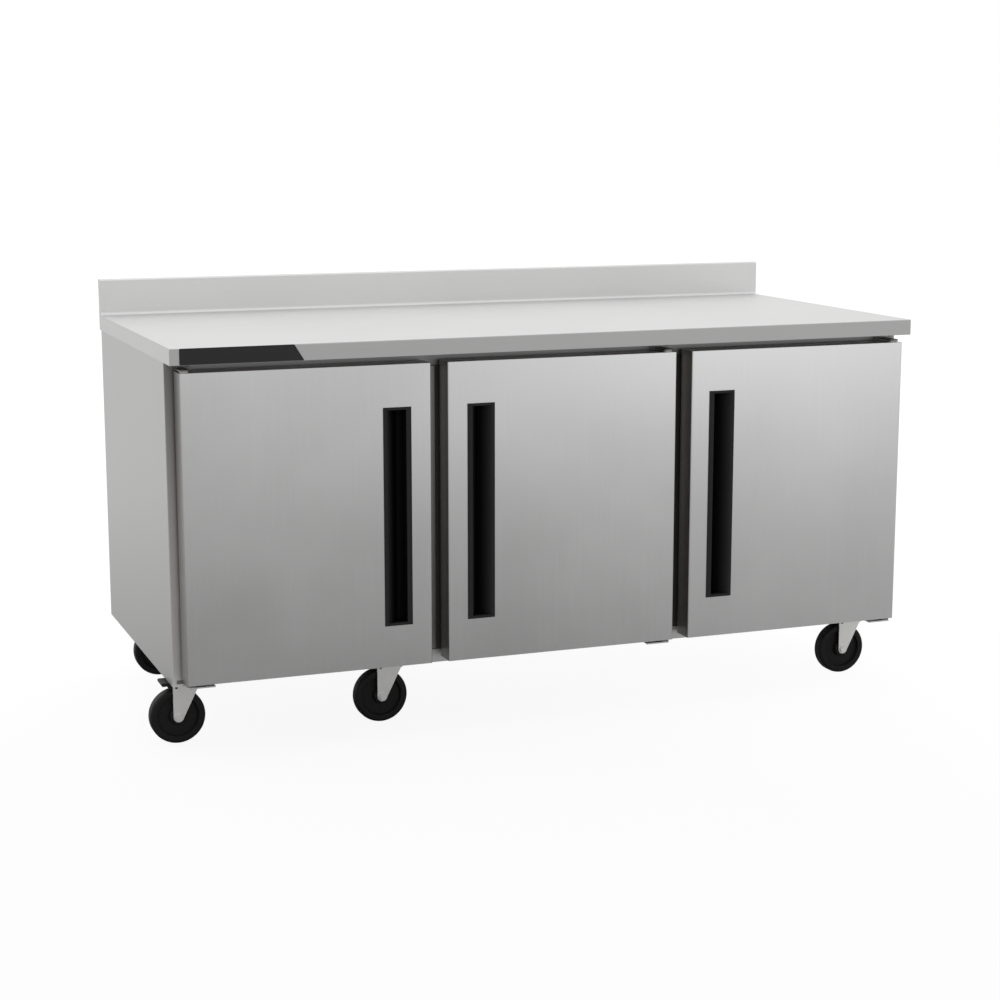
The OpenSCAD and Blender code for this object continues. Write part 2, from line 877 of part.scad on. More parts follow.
module condenser_fan() {
    color([0.16, 0.16, 0.17])
        translate([cond_x, cond_fan_y, cond_z])
            rotate([-90, 0, 0])
                fan_rotor(cond_fan_r, cond_hub_r, cond_fan_l, 5);
}

// Hermetic compressor: domed shell with a weld seam, on a base with four rubber feet
module compressor() {
    base_half = [pot_r + pot_foot_r + pot_seam, pot_r - pot_foot_r];
    terminal_z = pot_z + pot_h / 2 + 2 * pot_seam;
    shell = concat(
        [[0, 0]],
        arc([pot_r - pot_dome, pot_dome], pot_dome, 270, 360),
        [
            [pot_r, pot_h / 2 - pot_seam], [pot_r + pot_seam, pot_h / 2 - pot_seam],
            [pot_r + pot_seam, pot_h / 2 + pot_seam], [pot_r, pot_h / 2 + pot_seam]
        ],
        arc([pot_r - pot_dome, pot_h - pot_dome], pot_dome, 0, 90),
        [[0, pot_h]]
    );
    color([0.09, 0.09, 0.10])
        translate([pot_x, unit_y, 0]) {
            translate([0, 0, pot_z])
                rotate_extrude()
                    polygon(shell);
            slab(
                [-base_half.x, -base_half.y, pot_z - pot_base_t + 2],
                [base_half.x, base_half.y, pot_z + 2]
            );
            for (x = [-1, 1], y = [-1, 1])
                translate([x * (base_half.x - pot_foot_r), y * (base_half.y - pot_foot_r), foam_bot])
                    cylinder(r = pot_foot_r, h = pot_z - foam_bot);
            slab(
                [-terminal_w / 2, -pot_r / 2 - terminal_d, terminal_z],
                [terminal_w / 2, -pot_r / 2, terminal_z + terminal_h]
            );
        }
}

// Condenser coil in its fan shroud
module condenser_coil() {
    shroud_y = cond_coil_y - cond_coil_d / 2 - cond_fan_gap / 2;
    half = cond_half + shroud_gap;
    strip = shroud_gap / 2;
    wall = shroud_t;
    color([0.30, 0.31, 0.32]) {
        translate([cond_x, cond_coil_y, cond_z])
            finned_coil(cond_half, cond_coil_d, 2 * cond_half);
        difference() {
            slab(
                [cond_x - half, shroud_y, foam_bot],
                [cond_x + half, cond_coil_y + cond_coil_d / 2, cond_z + half]
            );
            slab(
                [cond_x - half + wall, shroud_y + wall, foam_bot + wall],
                [cond_x + half - wall, cond_coil_y + cond_coil_d, cond_z + half - wall]
            );
            along_y(shroud_y - 1, shroud_y + wall + 1)
                translate([cond_x, cond_z])
                    circle(r = cond_fan_r + 5);
        }
        for (side = [-1, 1])
            translate([cond_x, cond_coil_y, cond_z + side * (cond_half + strip)])
                cube([cond_half, cond_coil_d / 4, 2 * strip], center = true);
    }
}

// Tray that catches the evaporator's water, on two feet over the hump
module drain_pan() {
    half = cover_x - 34;
    back = in_rear - 2;
    color([0.84, 0.85, 0.85]) {
        difference() {
            slab([-half, cover_front + 2, tray_bot], [half, back, cover_bot]);
            slab(
                [-half + trim_t, cover_front + 2 + trim_t, tray_bot + trim_t],
                [half - trim_t, back - trim_t, cover_bot + 1]
            );
        }
        for (side = [-1, 1])
            translate([side * half / 2 - 10, cover_front + 30, hump_top + liner_t])
                cube([20, 40, tray_bot - hump_top - liner_t]);
    }
}

// Louvred cover of the machine bay
module rear_grille() {
    half = bay_x + grille_lap;
    low = cab_bot + 2;
    high = bay_top + grille_lap;
    col_x = half / 2 - 6;
    slot_half = half / 2 - 40;
    slot_h = 9;
    rows = floor((high - low - 90) / louvre_pitch);
    first = (low + high - rows * louvre_pitch) / 2 + 14;
    out_y = cab_rear + trim_t;
    hood = [
        [cab_rear, slot_h + 1], [out_y, slot_h + 1], [out_y + louvre_reach, 1],
        [out_y + louvre_reach, 0], [out_y + louvre_reach - trim_t, 0], [cab_rear, slot_h - 1]
    ];
    color([0.68, 0.69, 0.69]) {
        along_y(cab_rear, out_y)
            difference() {
                rect([-half, low], [half, high]);
                for (side = [-1, 1], i = [0:rows])
                    translate([side * col_x, first + i * louvre_pitch])
                        rect([-slot_half, 0], [slot_half, slot_h]);
                translate([gland_x, gland_z])
                    circle(r = gland_r);
            }
        for (side = [-1, 1], i = [0:rows])
            translate([side * col_x, 0, first + i * louvre_pitch])
                along_x(2 * slot_half)
                    polygon(hood);
    }
}

// Control box on the bay's wall, and the bare gland in the grille
module control_box() {
    lid = control_lid;
    lid_x = -bay_x + control_w;
    near = unit_y - control_d / 2;
    far = unit_y + control_d / 2;
    high = bay_top - control_drop;
    low = high - control_h;
    color([0.14, 0.14, 0.15]) {
        slab([-bay_x, near, low], [lid_x, far, high]);
        slab([lid_x, near - lid, low - lid], [lid_x + lid, far + lid, high + lid]);
        translate([gland_x, cab_rear + trim_t, gland_z])
            rotate([90, 0, 0])
                difference() {
                    union() {
                        translate([0, 0, -6])
                            cylinder(r = gland_r + 3, h = 6, $fn = 6);
                        cylinder(r = gland_r, h = 14);
                    }
                    translate([0, 0, -7])
                        cylinder(r = gland_r - 4, h = 23);
                }
    }
}

// Copper lines from the compressor to the condenser and up to the evaporator
module refrigerant_lines() {
    pot_top = pot_z + pot_h;
    high = bay_top - 16;
    cond_left = cond_x - cond_half - shroud_gap;
    line_z = evap_z - evap_coil_h / coil_bends;
    coil_left = -floor((2 * evap_half - fin_t) / fin_pitch) * fin_pitch / 2 - fin_t / 2;
    color([0.72, 0.43, 0.26]) {
        pipe(
            [
                [pot_x + 30, unit_y, pot_top], [pot_x + 30, unit_y, high],
                [cond_left - 14, unit_y, high], [cond_left - 14, cond_coil_y, high],
                [cond_left - 14, cond_coil_y, cond_z], [cond_left, cond_coil_y, cond_z]
            ],
            line_r
        );
        pipe(
            [
                [pot_x - 30, unit_y, pot_top], [pot_x - 30, unit_y, high - 20],
                [line_x, unit_y, high - 20], [line_x, line_y, high - 20],
                [line_x, line_y, line_z], [coil_left, line_y, line_z]
            ],
            line_r
        );
    }
}

// Doors

// Stands a door on its place: x = 0 at its free edge, y = 0 at its front, z = 0 at its bottom
module at_door(i) {
    translate([(i - 1) * door_pitch, door_front, door_bot])
        mirror([i == 0 ? 1 : 0, 0, 0])
            translate([-door_w / 2, 0, 0])
                children();
}

// Plan outline of a door, o inside its outer faces
function door_outline(o, back) = concat(
    [[o, back]],
    arc([door_r, door_r], door_r - o, 180, 270),
    arc([door_w - door_r, door_r], door_r - o, 270, 360),
    [[door_w - o, back]]
);

// Plan outline of the handle's moulding behind the door's face, grown by c
function handle_outline(c) = [
    [handle_wall - c, 0],
    [handle_wall - c, handle_back + c],
    [grip_w - grip_undercut + pocket_w + handle_wall + c, handle_back + c],
    [handle_w - handle_wall + c, handle_wall + c],
    [handle_w - handle_wall + c, 0]
];

// Cut for the handle's moulding, from just in front of the door's face
module handle_cut(c) {
    cut_l = handle_l - 2 * handle_wall + 2 * c;
    translate([handle_in, 0, (door_h - cut_l) / 2])
        linear_extrude(cut_l) {
            polygon(handle_outline(c));
            translate([handle_wall - c, -door_r])
                square([handle_w - 2 * handle_wall + 2 * c, door_r + 0.01]);
        }
}

// Bores for the two hinge bushes
module bush_cut(r) {
    for (z = [-1, door_h - pin_l - 1])
        translate([door_w - pivot_in, pivot_y, z])
            cylinder(r = r, h = pin_l + 2);
}

module door_skin(i) {
    color([0.80, 0.80, 0.79])
        at_door(i)
            difference() {
                linear_extrude(door_h)
                    polygon(door_outline(0, door_t));
                translate([0, 0, door_sheet])
                    linear_extrude(door_h - 2 * door_sheet)
                        polygon(door_outline(door_sheet, door_t + 1));
                handle_cut(handle_clear);
                bush_cut(bush_r);
            }
}

module door_foam(i) {
    color([0.93, 0.87, 0.68])
        at_door(i)
            difference() {
                union() {
                    translate([0, 0, door_sheet])
                        linear_extrude(door_h - 2 * door_sheet)
                            polygon(door_outline(door_sheet, door_t - door_sheet));
                    slab(
                        [panel_inset + door_sheet, door_t / 2, panel_inset + door_sheet],
                        [
                            door_w - panel_inset - door_sheet, door_t + panel_rise - door_sheet,
                            door_h - panel_inset - door_sheet
                        ]
                    );
                }
                handle_cut(handle_clear);
                bush_cut(bush_r);
            }
}

module door_liner(i) {
    o = panel_inset;
    color([0.86, 0.87, 0.87])
        at_door(i)
            difference() {
                union() {
                    slab(
                        [door_sheet, door_t - door_sheet, door_sheet],
                        [door_w - door_sheet, door_t, door_h - door_sheet]
                    );
                    slab([o, door_t - door_sheet, o], [door_w - o, door_t + panel_rise, door_h - o]);
                }
                slab(
                    [o + door_sheet, door_t - 2 * door_sheet, o + door_sheet],
                    [door_w - o - door_sheet, door_t + panel_rise - door_sheet, door_h - o - door_sheet]
                );
            }
}

// Flat ring round the door's back, between two distances from its edges
module door_ring(y0, y1, outer, inner) {
    along_y(y0, y1)
        difference() {
            rect([outer, outer], [door_w - outer, door_h - outer]);
            rect([inner, inner], [door_w - inner, door_h - inner]);
        }
}

module door_gasket(i) {
    inner = gasket_inset + gasket_w;
    color([0.18, 0.18, 0.19])
        at_door(i) {
            door_ring(door_t, door_t + gasket_foot, gasket_inset, inner);
            door_ring(
                door_t + gasket_foot / 2, door_t + gasket_gap - gasket_clear,
                gasket_inset + gasket_step, inner - gasket_step
            );
        }
}

// Recessed pull: a rim on the door's face, a ramp for the fingers and a pocket behind the grip band
module door_handle(i) {
    pocket_u = grip_w - grip_undercut;
    pocket = [
        [grip_w, -handle_proud - 1], [grip_w, grip_t - handle_proud], [pocket_u, grip_t - handle_proud + 1],
        [pocket_u, pocket_d - 3], [pocket_u + 3, pocket_d], [pocket_u + pocket_w - 3, pocket_d],
        [ramp_end - 2, -handle_proud + 1], [ramp_end, -handle_proud], [ramp_end, -handle_proud - 1]
    ];
    rim = concat(
        [[0, 0]],
        arc([handle_proud / 2, -handle_proud / 2], handle_proud / 2, 180, 270, 3),
        arc([handle_w - handle_proud / 2, -handle_proud / 2], handle_proud / 2, 270, 360, 3),
        [[handle_w, 0]]
    );
    body_l = handle_l - 2 * handle_wall;
    recess_l = handle_l - 2 * handle_rim;
    color([0.07, 0.07, 0.07])
        at_door(i)
            translate([handle_in, 0, door_h / 2])
                difference() {
                    union() {
                        linear_extrude(body_l, center = true)
                            polygon(handle_outline(0));
                        linear_extrude(handle_l, center = true)
                            polygon(rim);
                    }
                    linear_extrude(recess_l, center = true)
                        polygon(pocket);
                }
}

// Two collared bushes that turn on the hinge pins
module door_bushes(i) {
    section = [
        [pin_r + run_clear, -collar_t], [collar_r, -collar_t], [collar_r, 0],
        [bush_r, 0], [bush_r, pin_l], [pin_r + run_clear, pin_l]
    ];
    color([0.85, 0.85, 0.83])
        at_door(i)
            translate([door_w - pivot_in, pivot_y, 0]) {
                rotate_extrude()
                    polygon(section);
                translate([0, 0, door_h])
                    mirror([0, 0, 1])
                        rotate_extrude()
                            polygon(section);
            }
}

// Lower hinge plate on the cabinet's face, with its pin upwards
module hinge_bracket(leg) {
    depth = door_t + gasket_gap - pivot_y;
    translate([0, 0, -hinge_gap - hinge_t]) {
        cylinder(r = hinge_half, h = hinge_t);
        slab([-hinge_half, 0, 0], [hinge_half, depth, hinge_t]);
        cylinder(r = pin_r, h = hinge_t + hinge_gap + pin_l - 1);
    }
    slab([-2 * hinge_half, depth - hinge_t, -leg], [2 * hinge_half, depth, -hinge_gap]);
}

module hinge_brackets() {
    color([0.28, 0.28, 0.29])
        for (i = [0:2])
            at_door(i)
                translate([door_w - pivot_in, pivot_y, 0]) {
                    hinge_bracket(door_rise);
                    translate([0, 0, door_h])
                        mirror([0, 0, 1])
                            hinge_bracket(door_top_gap - 1);
                }
}

// Casters

// Top plates with their ball races and kingpins, under the base
module caster_plates() {
    hole_r = 4.5;
    hole_x = top_plate_l / 2 - 12;
    hole_y = top_plate_w / 2 - 12;
    color([0.72, 0.73, 0.74])
        for (p = caster_at)
            translate(p) {
                difference() {
                    slab(
                        [-top_plate_l / 2, -top_plate_w / 2, plate_bot],
                        [top_plate_l / 2, top_plate_w / 2, caster_h]
                    );
                    for (x = [-1, 1], y = [-1, 1])
                        translate([x * hole_x, y * hole_y, plate_bot - 1])
                            cylinder(r = hole_r, h = top_plate_t + 2);
                }
                translate([0, 0, race_bot])
                    cylinder(r = race_r, h = race_h);
                translate([0, 0, crown_bot - 1])
                    cylinder(r = kingpin_r, h = caster_h - crown_bot);
                translate([0, 0, crown_bot - seat_gap - king_nut_h])
                    cylinder(r = 1.6 * kingpin_r, h = king_nut_h);
            }
}

// Fork that swivels on a kingpin, with the wheel's axle bolt
module caster_fork(i) {
    braked = i < 3;
    crown_r = race_r + 2;
    flare_x = 30;
    neck = [13, crown_bot - 10];
    head_t = 5;
    head_r = 9;
    leg = concat(
        [[-trail - tip_r, crown_top]],
        arc([-trail, axle_z], tip_r, 180, 350, 10),
        [neck, [flare_x, crown_bot + 2], [flare_x, crown_top]]
    );
    color([0.72, 0.73, 0.74])
        translate(caster_at[i])
            difference() {
                union() {
                    translate([0, 0, crown_bot])
                        cylinder(r = crown_r, h = crown_t);
                    slab([-trail + 4, -leg_out, crown_bot], [flare_x, leg_out, crown_top]);
                    for (side = [0, 1])
                        mirror([0, side, 0])
                            along_y(leg_in, leg_out)
                                polygon(leg);
                    translate([-trail, 0, axle_z])
                        rotate([90, 0, 0]) {
                            cylinder(r = axle_r, h = 2 * leg_out + head_t, center = true);
                            for (side = [-1, 1])
                                translate([0, 0, side * (leg_out + head_t / 2)])
                                    cylinder(r = head_r, h = head_t, center = true, $fn = 6);
                        }
                }
                translate([0, 0, crown_bot - 1])
                    cylinder(r = kingpin_r + run_clear, h = crown_t + 2);
                if (braked)
                    translate([pedal_x, 0, pedal_z])
                        rotate([90, 0, 0])
                            cylinder(r = pedal_pin_r + run_clear, h = 2 * leg_out + 2, center = true);
            }
}

// Wheel with a rounded tread, a thin web and a bored hub
module caster_wheel(i) {
    tread_r = 7;
    web_half = 8;
    hub_r = 19;
    rim_r = wheel_r - 16;
    half = wheel_w / 2;
    bore = axle_r + run_clear;
    side = concat(
        [[bore, hub_w / 2], [hub_r - 2, hub_w / 2], [hub_r, hub_w / 2 - 2], [hub_r + 2, web_half]],
        [[rim_r - 2, web_half], [rim_r, half - 1], [rim_r + 1, half]],
        arc([wheel_r - tread_r, half - tread_r], tread_r, 90, 0, 4)
    );
    other = [for (k = [len(side) - 1:-1:0]) [side[k].x, -side[k].y]];
    color([0.09, 0.09, 0.09])
        translate(caster_at[i] + [-trail, 0, axle_z])
            rotate([90, 0, 0])
                rotate_extrude()
                    polygon(concat(side, other));
}

// Brake pedal on a pin through the fork's legs, with a shoe over the wheel
module caster_pedal(i) {
    arm_half = leg_in - 0.8;
    shoe_z = pedal_z - pedal_boss;
    shoe_x = pedal_x - 15;
    tread_in = pedal_x - 14;
    tread_out = pedal_x - pedal_l;
    tread_z = pedal_z + 5;
    arm = concat(
        arc([pedal_x, pedal_z], pedal_boss, 90, -90, 8),
        [
            [pedal_x - 8, shoe_z + 0.3], [shoe_x, shoe_z], [shoe_x - 6, tread_z],
            [shoe_x - 6, tread_z + 6], [tread_in - 1, tread_z + 6], [pedal_x - 8, tread_z]
        ]
    );
    tread = [
        [tread_in, tread_z], [tread_in, tread_z + 8],
        [tread_out + 2, tread_z + 8], [tread_out, tread_z + 5],
        [tread_out + 2, tread_z]
    ];
    color([0.12, 0.12, 0.13])
        translate(caster_at[i]) {
            along_y(-arm_half, arm_half)
                polygon(arm);
            along_y(-pedal_half, pedal_half)
                polygon(tread);
            translate([pedal_x, 0, pedal_z])
                rotate([90, 0, 0])
                    cylinder(r = pedal_pin_r, h = 2 * leg_out + 3, center = true);
        }
}

framed() worktop();
framed() worktop_core();
framed() left_side_panel();
framed() right_side_panel();
framed() rear_panel();
framed() base_panel();
framed() cabinet_insulation();
framed() inner_liner();
framed() breaker_frame();
framed() front_frame();
framed() shelf_left();
framed() shelf_centre();
framed() shelf_right();
framed() shelf_supports();
framed() evaporator_coil();
framed() evaporator_cover();
framed() fan_motors();
framed() evaporator_fan();
framed() condenser_fan();
framed() compressor();
framed() condenser_coil();
framed() drain_pan();
framed() rear_grille();
framed() control_box();
framed() refrigerant_lines();
framed() hinge_brackets();
framed() caster_plates();
framed() door_skin(0);  // left_door_skin
framed() door_foam(0);  // left_door_foam
framed() door_liner(0);  // left_door_liner
framed() door_gasket(0);  // left_door_gasket
framed() door_handle(0);  // left_door_handle
framed() door_bushes(0);  // left_door_bushes
framed() door_skin(1);  // centre_door_skin
framed() door_foam(1);  // centre_door_foam
framed() door_liner(1);  // centre_door_liner
framed() door_gasket(1);  // centre_door_gasket
framed() door_handle(1);  // centre_door_handle
framed() door_bushes(1);  // centre_door_bushes
framed() door_skin(2);  // right_door_skin
framed() door_foam(2);  // right_door_foam
framed() door_liner(2);  // right_door_liner
framed() door_gasket(2);  // right_door_gasket
framed() door_handle(2);  // right_door_handle
framed() door_bushes(2);  // right_door_bushes
framed() caster_fork(0);  // front_left_fork
framed() caster_fork(1);  // front_middle_fork
framed() caster_fork(2);  // front_right_fork
framed() caster_fork(3);  // rear_left_fork
framed() caster_fork(4);  // rear_middle_fork
framed() caster_fork(5);  // rear_right_fork
framed() caster_wheel(0);  // front_left_wheel
framed() caster_wheel(1);  // front_middle_wheel
framed() caster_wheel(2);  // front_right_wheel
framed() caster_wheel(3);  // rear_left_wheel
framed() caster_wheel(4);  // rear_middle_wheel
framed() caster_wheel(5);  // rear_right_wheel
framed() caster_pedal(0);  // front_left_pedal
framed() caster_pedal(1);  // front_middle_pedal
framed() caster_pedal(2);  // front_right_pedal
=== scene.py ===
import bpy
import json
import math
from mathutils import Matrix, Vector


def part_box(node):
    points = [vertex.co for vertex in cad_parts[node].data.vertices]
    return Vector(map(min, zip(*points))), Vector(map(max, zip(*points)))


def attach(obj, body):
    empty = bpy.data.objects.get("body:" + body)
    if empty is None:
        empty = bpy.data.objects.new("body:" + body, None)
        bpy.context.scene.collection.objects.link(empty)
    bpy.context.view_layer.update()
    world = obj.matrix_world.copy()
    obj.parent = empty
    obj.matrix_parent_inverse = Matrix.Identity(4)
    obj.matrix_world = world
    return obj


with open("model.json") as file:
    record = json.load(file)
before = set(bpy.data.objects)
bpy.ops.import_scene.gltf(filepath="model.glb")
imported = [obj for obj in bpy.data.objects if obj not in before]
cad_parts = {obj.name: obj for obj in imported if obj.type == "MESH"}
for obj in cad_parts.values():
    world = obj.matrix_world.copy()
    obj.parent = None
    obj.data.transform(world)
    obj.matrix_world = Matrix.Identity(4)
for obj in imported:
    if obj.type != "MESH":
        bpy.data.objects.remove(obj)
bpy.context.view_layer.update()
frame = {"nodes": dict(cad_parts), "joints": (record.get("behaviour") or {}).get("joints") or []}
bpy.ops.object.select_all(action="DESELECT")


# camera, where the photographer stood: left of the cabinet and a little above it

viewCamera = {
    "lens": 74.16,
    "sensor": 36.0,
    "place": (-1.798, -4.750, 1.394),
    "pitch": 10.464,  # degrees down
    "yaw": 20.93,  # degrees to the right
}


def addCamera(setup):
    tilt = math.radians(90 - setup["pitch"])
    bpy.ops.object.camera_add(location=setup["place"], rotation=(tilt, 0, -math.radians(setup["yaw"])))
    camera = bpy.context.object
    camera.name = "viewCamera"
    camera.data.lens = setup["lens"]
    camera.data.sensor_width = setup["sensor"]
    bpy.context.scene.camera = camera


addCamera(viewCamera)
print("camera placed")


# small helpers for node trees

def grey(value, warm=0.0):
    return (value * (1 + warm), value, value * (1 - warm), 1)


def addNode(tree, kind, inputs=None, **settings):
    node = tree.nodes.new(kind)
    for key, value in settings.items():
        setattr(node, key, value)
    for key, value in (inputs or {}).items():
        if isinstance(value, bpy.types.NodeSocket):
            tree.links.new(value, node.inputs[key])
        else:
            node.inputs[key].default_value = value
    return node


def calc(tree, operation, a, b=0.0):
    return addNode(tree, "ShaderNodeMath", {0: a, 1: b}, operation=operation).outputs[0]


def blend(tree, a, b, share):
    return calc(tree, "ADD", calc(tree, "MULTIPLY", a, share), calc(tree, "MULTIPLY", b, 1 - share))


def remap(tree, value, low, high):
    # 0 to 1 becomes low to high
    return addNode(tree, "ShaderNodeMapRange", {"Value": value, "To Min": low, "To Max": high}).outputs[0]


def ramp(tree, value, start, end):
    # start to end becomes 0 to 1
    inputs = {"Value": value, "From Min": start, "From Max": end}
    return addNode(tree, "ShaderNodeMapRange", inputs).outputs[0]


def along(tree, vector, axis):
    return addNode(tree, "ShaderNodeSeparateXYZ", {0: vector}).outputs[axis]


def facing(tree, axis):
    return along(tree, addNode(tree, "ShaderNodeTexCoord").outputs["Normal"], axis)


def noise(tree, vector, scale, detail, rough):
    inputs = {"Vector": vector, "Scale": scale, "Detail": detail, "Roughness": rough}
    return addNode(tree, "ShaderNodeTexNoise", inputs).outputs["Fac"]


def stretched(tree, vector, factors):
    return addNode(tree, "ShaderNodeVectorMath", {0: vector, 1: factors}, operation="MULTIPLY").outputs[0]


def mixColours(tree, share, first, second, **settings):
    # the colours go in at 6 and 7 of a mix node and come out at 2
    inputs = {0: share, 6: first, 7: second}
    return addNode(tree, "ShaderNodeMix", inputs, data_type="RGBA", clamp_factor=True, **settings).outputs[2]


# studio: pale floor, soft lamps and a white surround

studio = {
    "floorSize": 60.0,
    "floorDrop": 0.0004,
    "floorColour": grey(0.66),
    "floorRoughness": 0.9,
    "floorGloss": 0.1,
    "floorWhite": 1.08,  # what the far floor shows to the camera
    "nearGlow": 0.84,  # share of that white close to the cabinet
    "mirrorGlow": 0.72,  # share of it that the far floor shows in the steel
    "glowCentre": (-0.6, -1.2),
    "glowFrom": 0.8,
    "glowTo": 4.4,
    "ambient": 0.50,
    "ambientColour": (1.0, 0.995, 0.985, 1),
    "surround": 1.0,
    "lamps": [
        # name, place, aim, size, watts
        ("overheadBox", (0.0, 0.7, 3.6), (0.0, 0.1, 0.5), (6.0, 4.0), 36),
        ("frontBox", (-0.5, -4.6, 2.8), (0.0, 0.0, 0.6), (3.6, 1.8), 8),
        ("leftBox", (-4.2, 0.6, 2.6), (-0.6, 0.0, 0.6), (2.4, 2.0), 12),
        ("lowBox", (3.4, -6.0, 0.45), (0.5, -0.4, 0.6), (2.4, 0.8), 8),
    ],
}


def rayKinds(tree):
    # rays from the camera, and rays by way of a mirror or glass
    path = addNode(tree, "ShaderNodeLightPath").outputs
    return path["Is Camera Ray"], calc(tree, "MAXIMUM", path["Is Glossy Ray"], path["Is Transmission Ray"])


def mixInto(tree, output, share, first, second):
    mix = addNode(tree, "ShaderNodeMixShader", {0: share, 1: first.outputs[0], 2: second.outputs[0]})
    tree.links.new(mix.outputs[0], tree.nodes[output].inputs["Surface"])


def addFloor(setup):
    bpy.ops.mesh.primitive_plane_add(size=setup["floorSize"], location=(0, 0, -setup["floorDrop"]))
    floor = bpy.context.object
    floor.name = "studioFloor"
    material = bpy.data.materials.new("pale floor")
    material.use_nodes = True
    tree = material.node_tree
    shader = tree.nodes["Principled BSDF"]
    shader.inputs["Base Color"].default_value = setup["floorColour"]
    shader.inputs["Roughness"].default_value = setup["floorRoughness"]
    shader.inputs["Specular IOR Level"].default_value = setup["floorGloss"]
    glow = addNode(tree, "ShaderNodeEmission", {"Strength": setup["floorWhite"]})
    place = {0: addNode(tree, "ShaderNodeTexCoord").outputs["Object"], 1: (*setup["glowCentre"], 0)}
    away = addNode(tree, "ShaderNodeVectorMath", place, operation="DISTANCE").outputs["Value"]
    far = ramp(tree, away, setup["glowFrom"], setup["glowTo"])
    seen, mirrored = rayKinds(tree)
    seen = calc(tree, "MULTIPLY", seen, remap(tree, far, setup["nearGlow"], 1.0))
    mirrored = calc(tree, "MULTIPLY", mirrored, remap(tree, far, 0.0, setup["mirrorGlow"]))
    mixInto(tree, "Material Output", calc(tree, "MAXIMUM", seen, mirrored), shader, glow)
    floor.data.materials.append(material)


def addSurround(setup):
    world = bpy.data.worlds.new("white studio")
    bpy.context.scene.world = world
    world.use_nodes = True
    world.cycles.sampling_method = "NONE"
    tree = world.node_tree
    ambient = tree.nodes["Background"]
    ambient.inputs["Color"].default_value = setup["ambientColour"]
    ambient.inputs["Strength"].default_value = setup["ambient"]
    white = addNode(tree, "ShaderNodeBackground", {"Color": grey(1.0), "Strength": setup["surround"]})
    mixInto(tree, "World Output", calc(tree, "MAXIMUM", *rayKinds(tree)), ambient, white)


def addLamp(name, place, aim, size, watts):
    turn = (Vector(aim) - Vector(place)).to_track_quat("-Z", "Y").to_euler()
    bpy.ops.object.light_add(type="AREA", location=place, rotation=turn)
    lamp = bpy.context.object
    lamp.name = name
    lamp.data.shape = "RECTANGLE"
    lamp.data.size, lamp.data.size_y = size
    lamp.data.energy = watts


addFloor(studio)
addSurround(studio)
for lamp in studio["lamps"]:
    addLamp(*lamp)
bpy.context.scene.view_settings.view_transform = "Standard"
print("studio lit with", len(studio["lamps"]), "lamps")


# shared effects

brushedLook = {
    "fine": {"scale": 900.0, "detail": 3.0, "rough": 0.6},
    "broad": {"scale": 160.0, "detail": 2.0, "rough": 0.55},
    "fineShare": 0.6,
    "cloud": {"scale": 2.6, "detail": 3.0, "rough": 0.5},
    "streakToRoughness": 0.9,
    "cloudToRoughness": 0.5,
}
mouldedLook = {
    "smoothness": 0.6,
    "mottle": {"scale": 14.0, "detail": 4.0, "rough": 0.6},
}
spangleLook = {
    "bend": {"scale": 40.0, "detail": 2.0, "rough": 0.5},
    "wobble": 0.006,
    "bloom": {"scale": 7.0, "detail": 4.0, "rough": 0.6},
}
dustLook = {
    "lies": (-0.2, 1.0),  # upward part of the normal where dust starts to lie, and where it lies in full
    "speck": {"scale": 55.0, "detail": 5.0, "rough": 0.65},
}
noiseMean = 0.5


def newGroup(name, vectors, values, results):
    group = bpy.data.node_groups.new(name, "ShaderNodeTree")
    for label in vectors:
        group.interface.new_socket(label, in_out="INPUT", socket_type="NodeSocketVector")
    for label in values:
        group.interface.new_socket(label, in_out="INPUT", socket_type="NodeSocketFloat")
    for label in results:
        group.interface.new_socket(label, in_out="OUTPUT", socket_type="NodeSocketFloat")
    return group, addNode(group, "NodeGroupInput").outputs, addNode(group, "NodeGroupOutput").inputs


def swing(tree, value, amount):
    return calc(tree, "MULTIPLY", calc(tree, "SUBTRACT", value, noiseMean), amount)


def makeBrushedGrain(look):
    group, given, made = newGroup(
        "brushed grain",
        ["Vector", "Stretch"],
        ["Streaks", "Clouds", "Roughness"],
        ["Shade", "Roughness", "Height"],
    )
    lay = stretched(group, given["Vector"], given["Stretch"])
    fine = noise(group, lay, **look["fine"])
    broad = noise(group, lay, **look["broad"])
    hair = blend(group, fine, broad, look["fineShare"])
    streak = swing(group, hair, given["Streaks"])
    drift = swing(group, noise(group, given["Vector"], **look["cloud"]), given["Clouds"])
    group.links.new(calc(group, "ADD", calc(group, "ADD", streak, drift), 1.0), made["Shade"])
    streakPart = calc(group, "MULTIPLY", streak, look["streakToRoughness"])
    cloudPart = calc(group, "MULTIPLY", drift, look["cloudToRoughness"])
    uneven = calc(group, "ADD", streakPart, cloudPart)
    group.links.new(calc(group, "ADD", given["Roughness"], uneven), made["Roughness"])
    group.links.new(hair, made["Height"])
    return group


def makeMouldedGrain(look):
    group, given, made = newGroup("moulded grain", ["Vector"], ["Scale"], ["Mottle", "Height"])
    inputs = {"Vector": given["Vector"], "Scale": given["Scale"], "Smoothness": look["smoothness"]}
    pips = addNode(group, "ShaderNodeTexVoronoi", inputs, feature="SMOOTH_F1").outputs["Distance"]
    group.links.new(noise(group, given["Vector"], **look["mottle"]), made["Mottle"])
    group.links.new(pips, made["Height"])
    return group


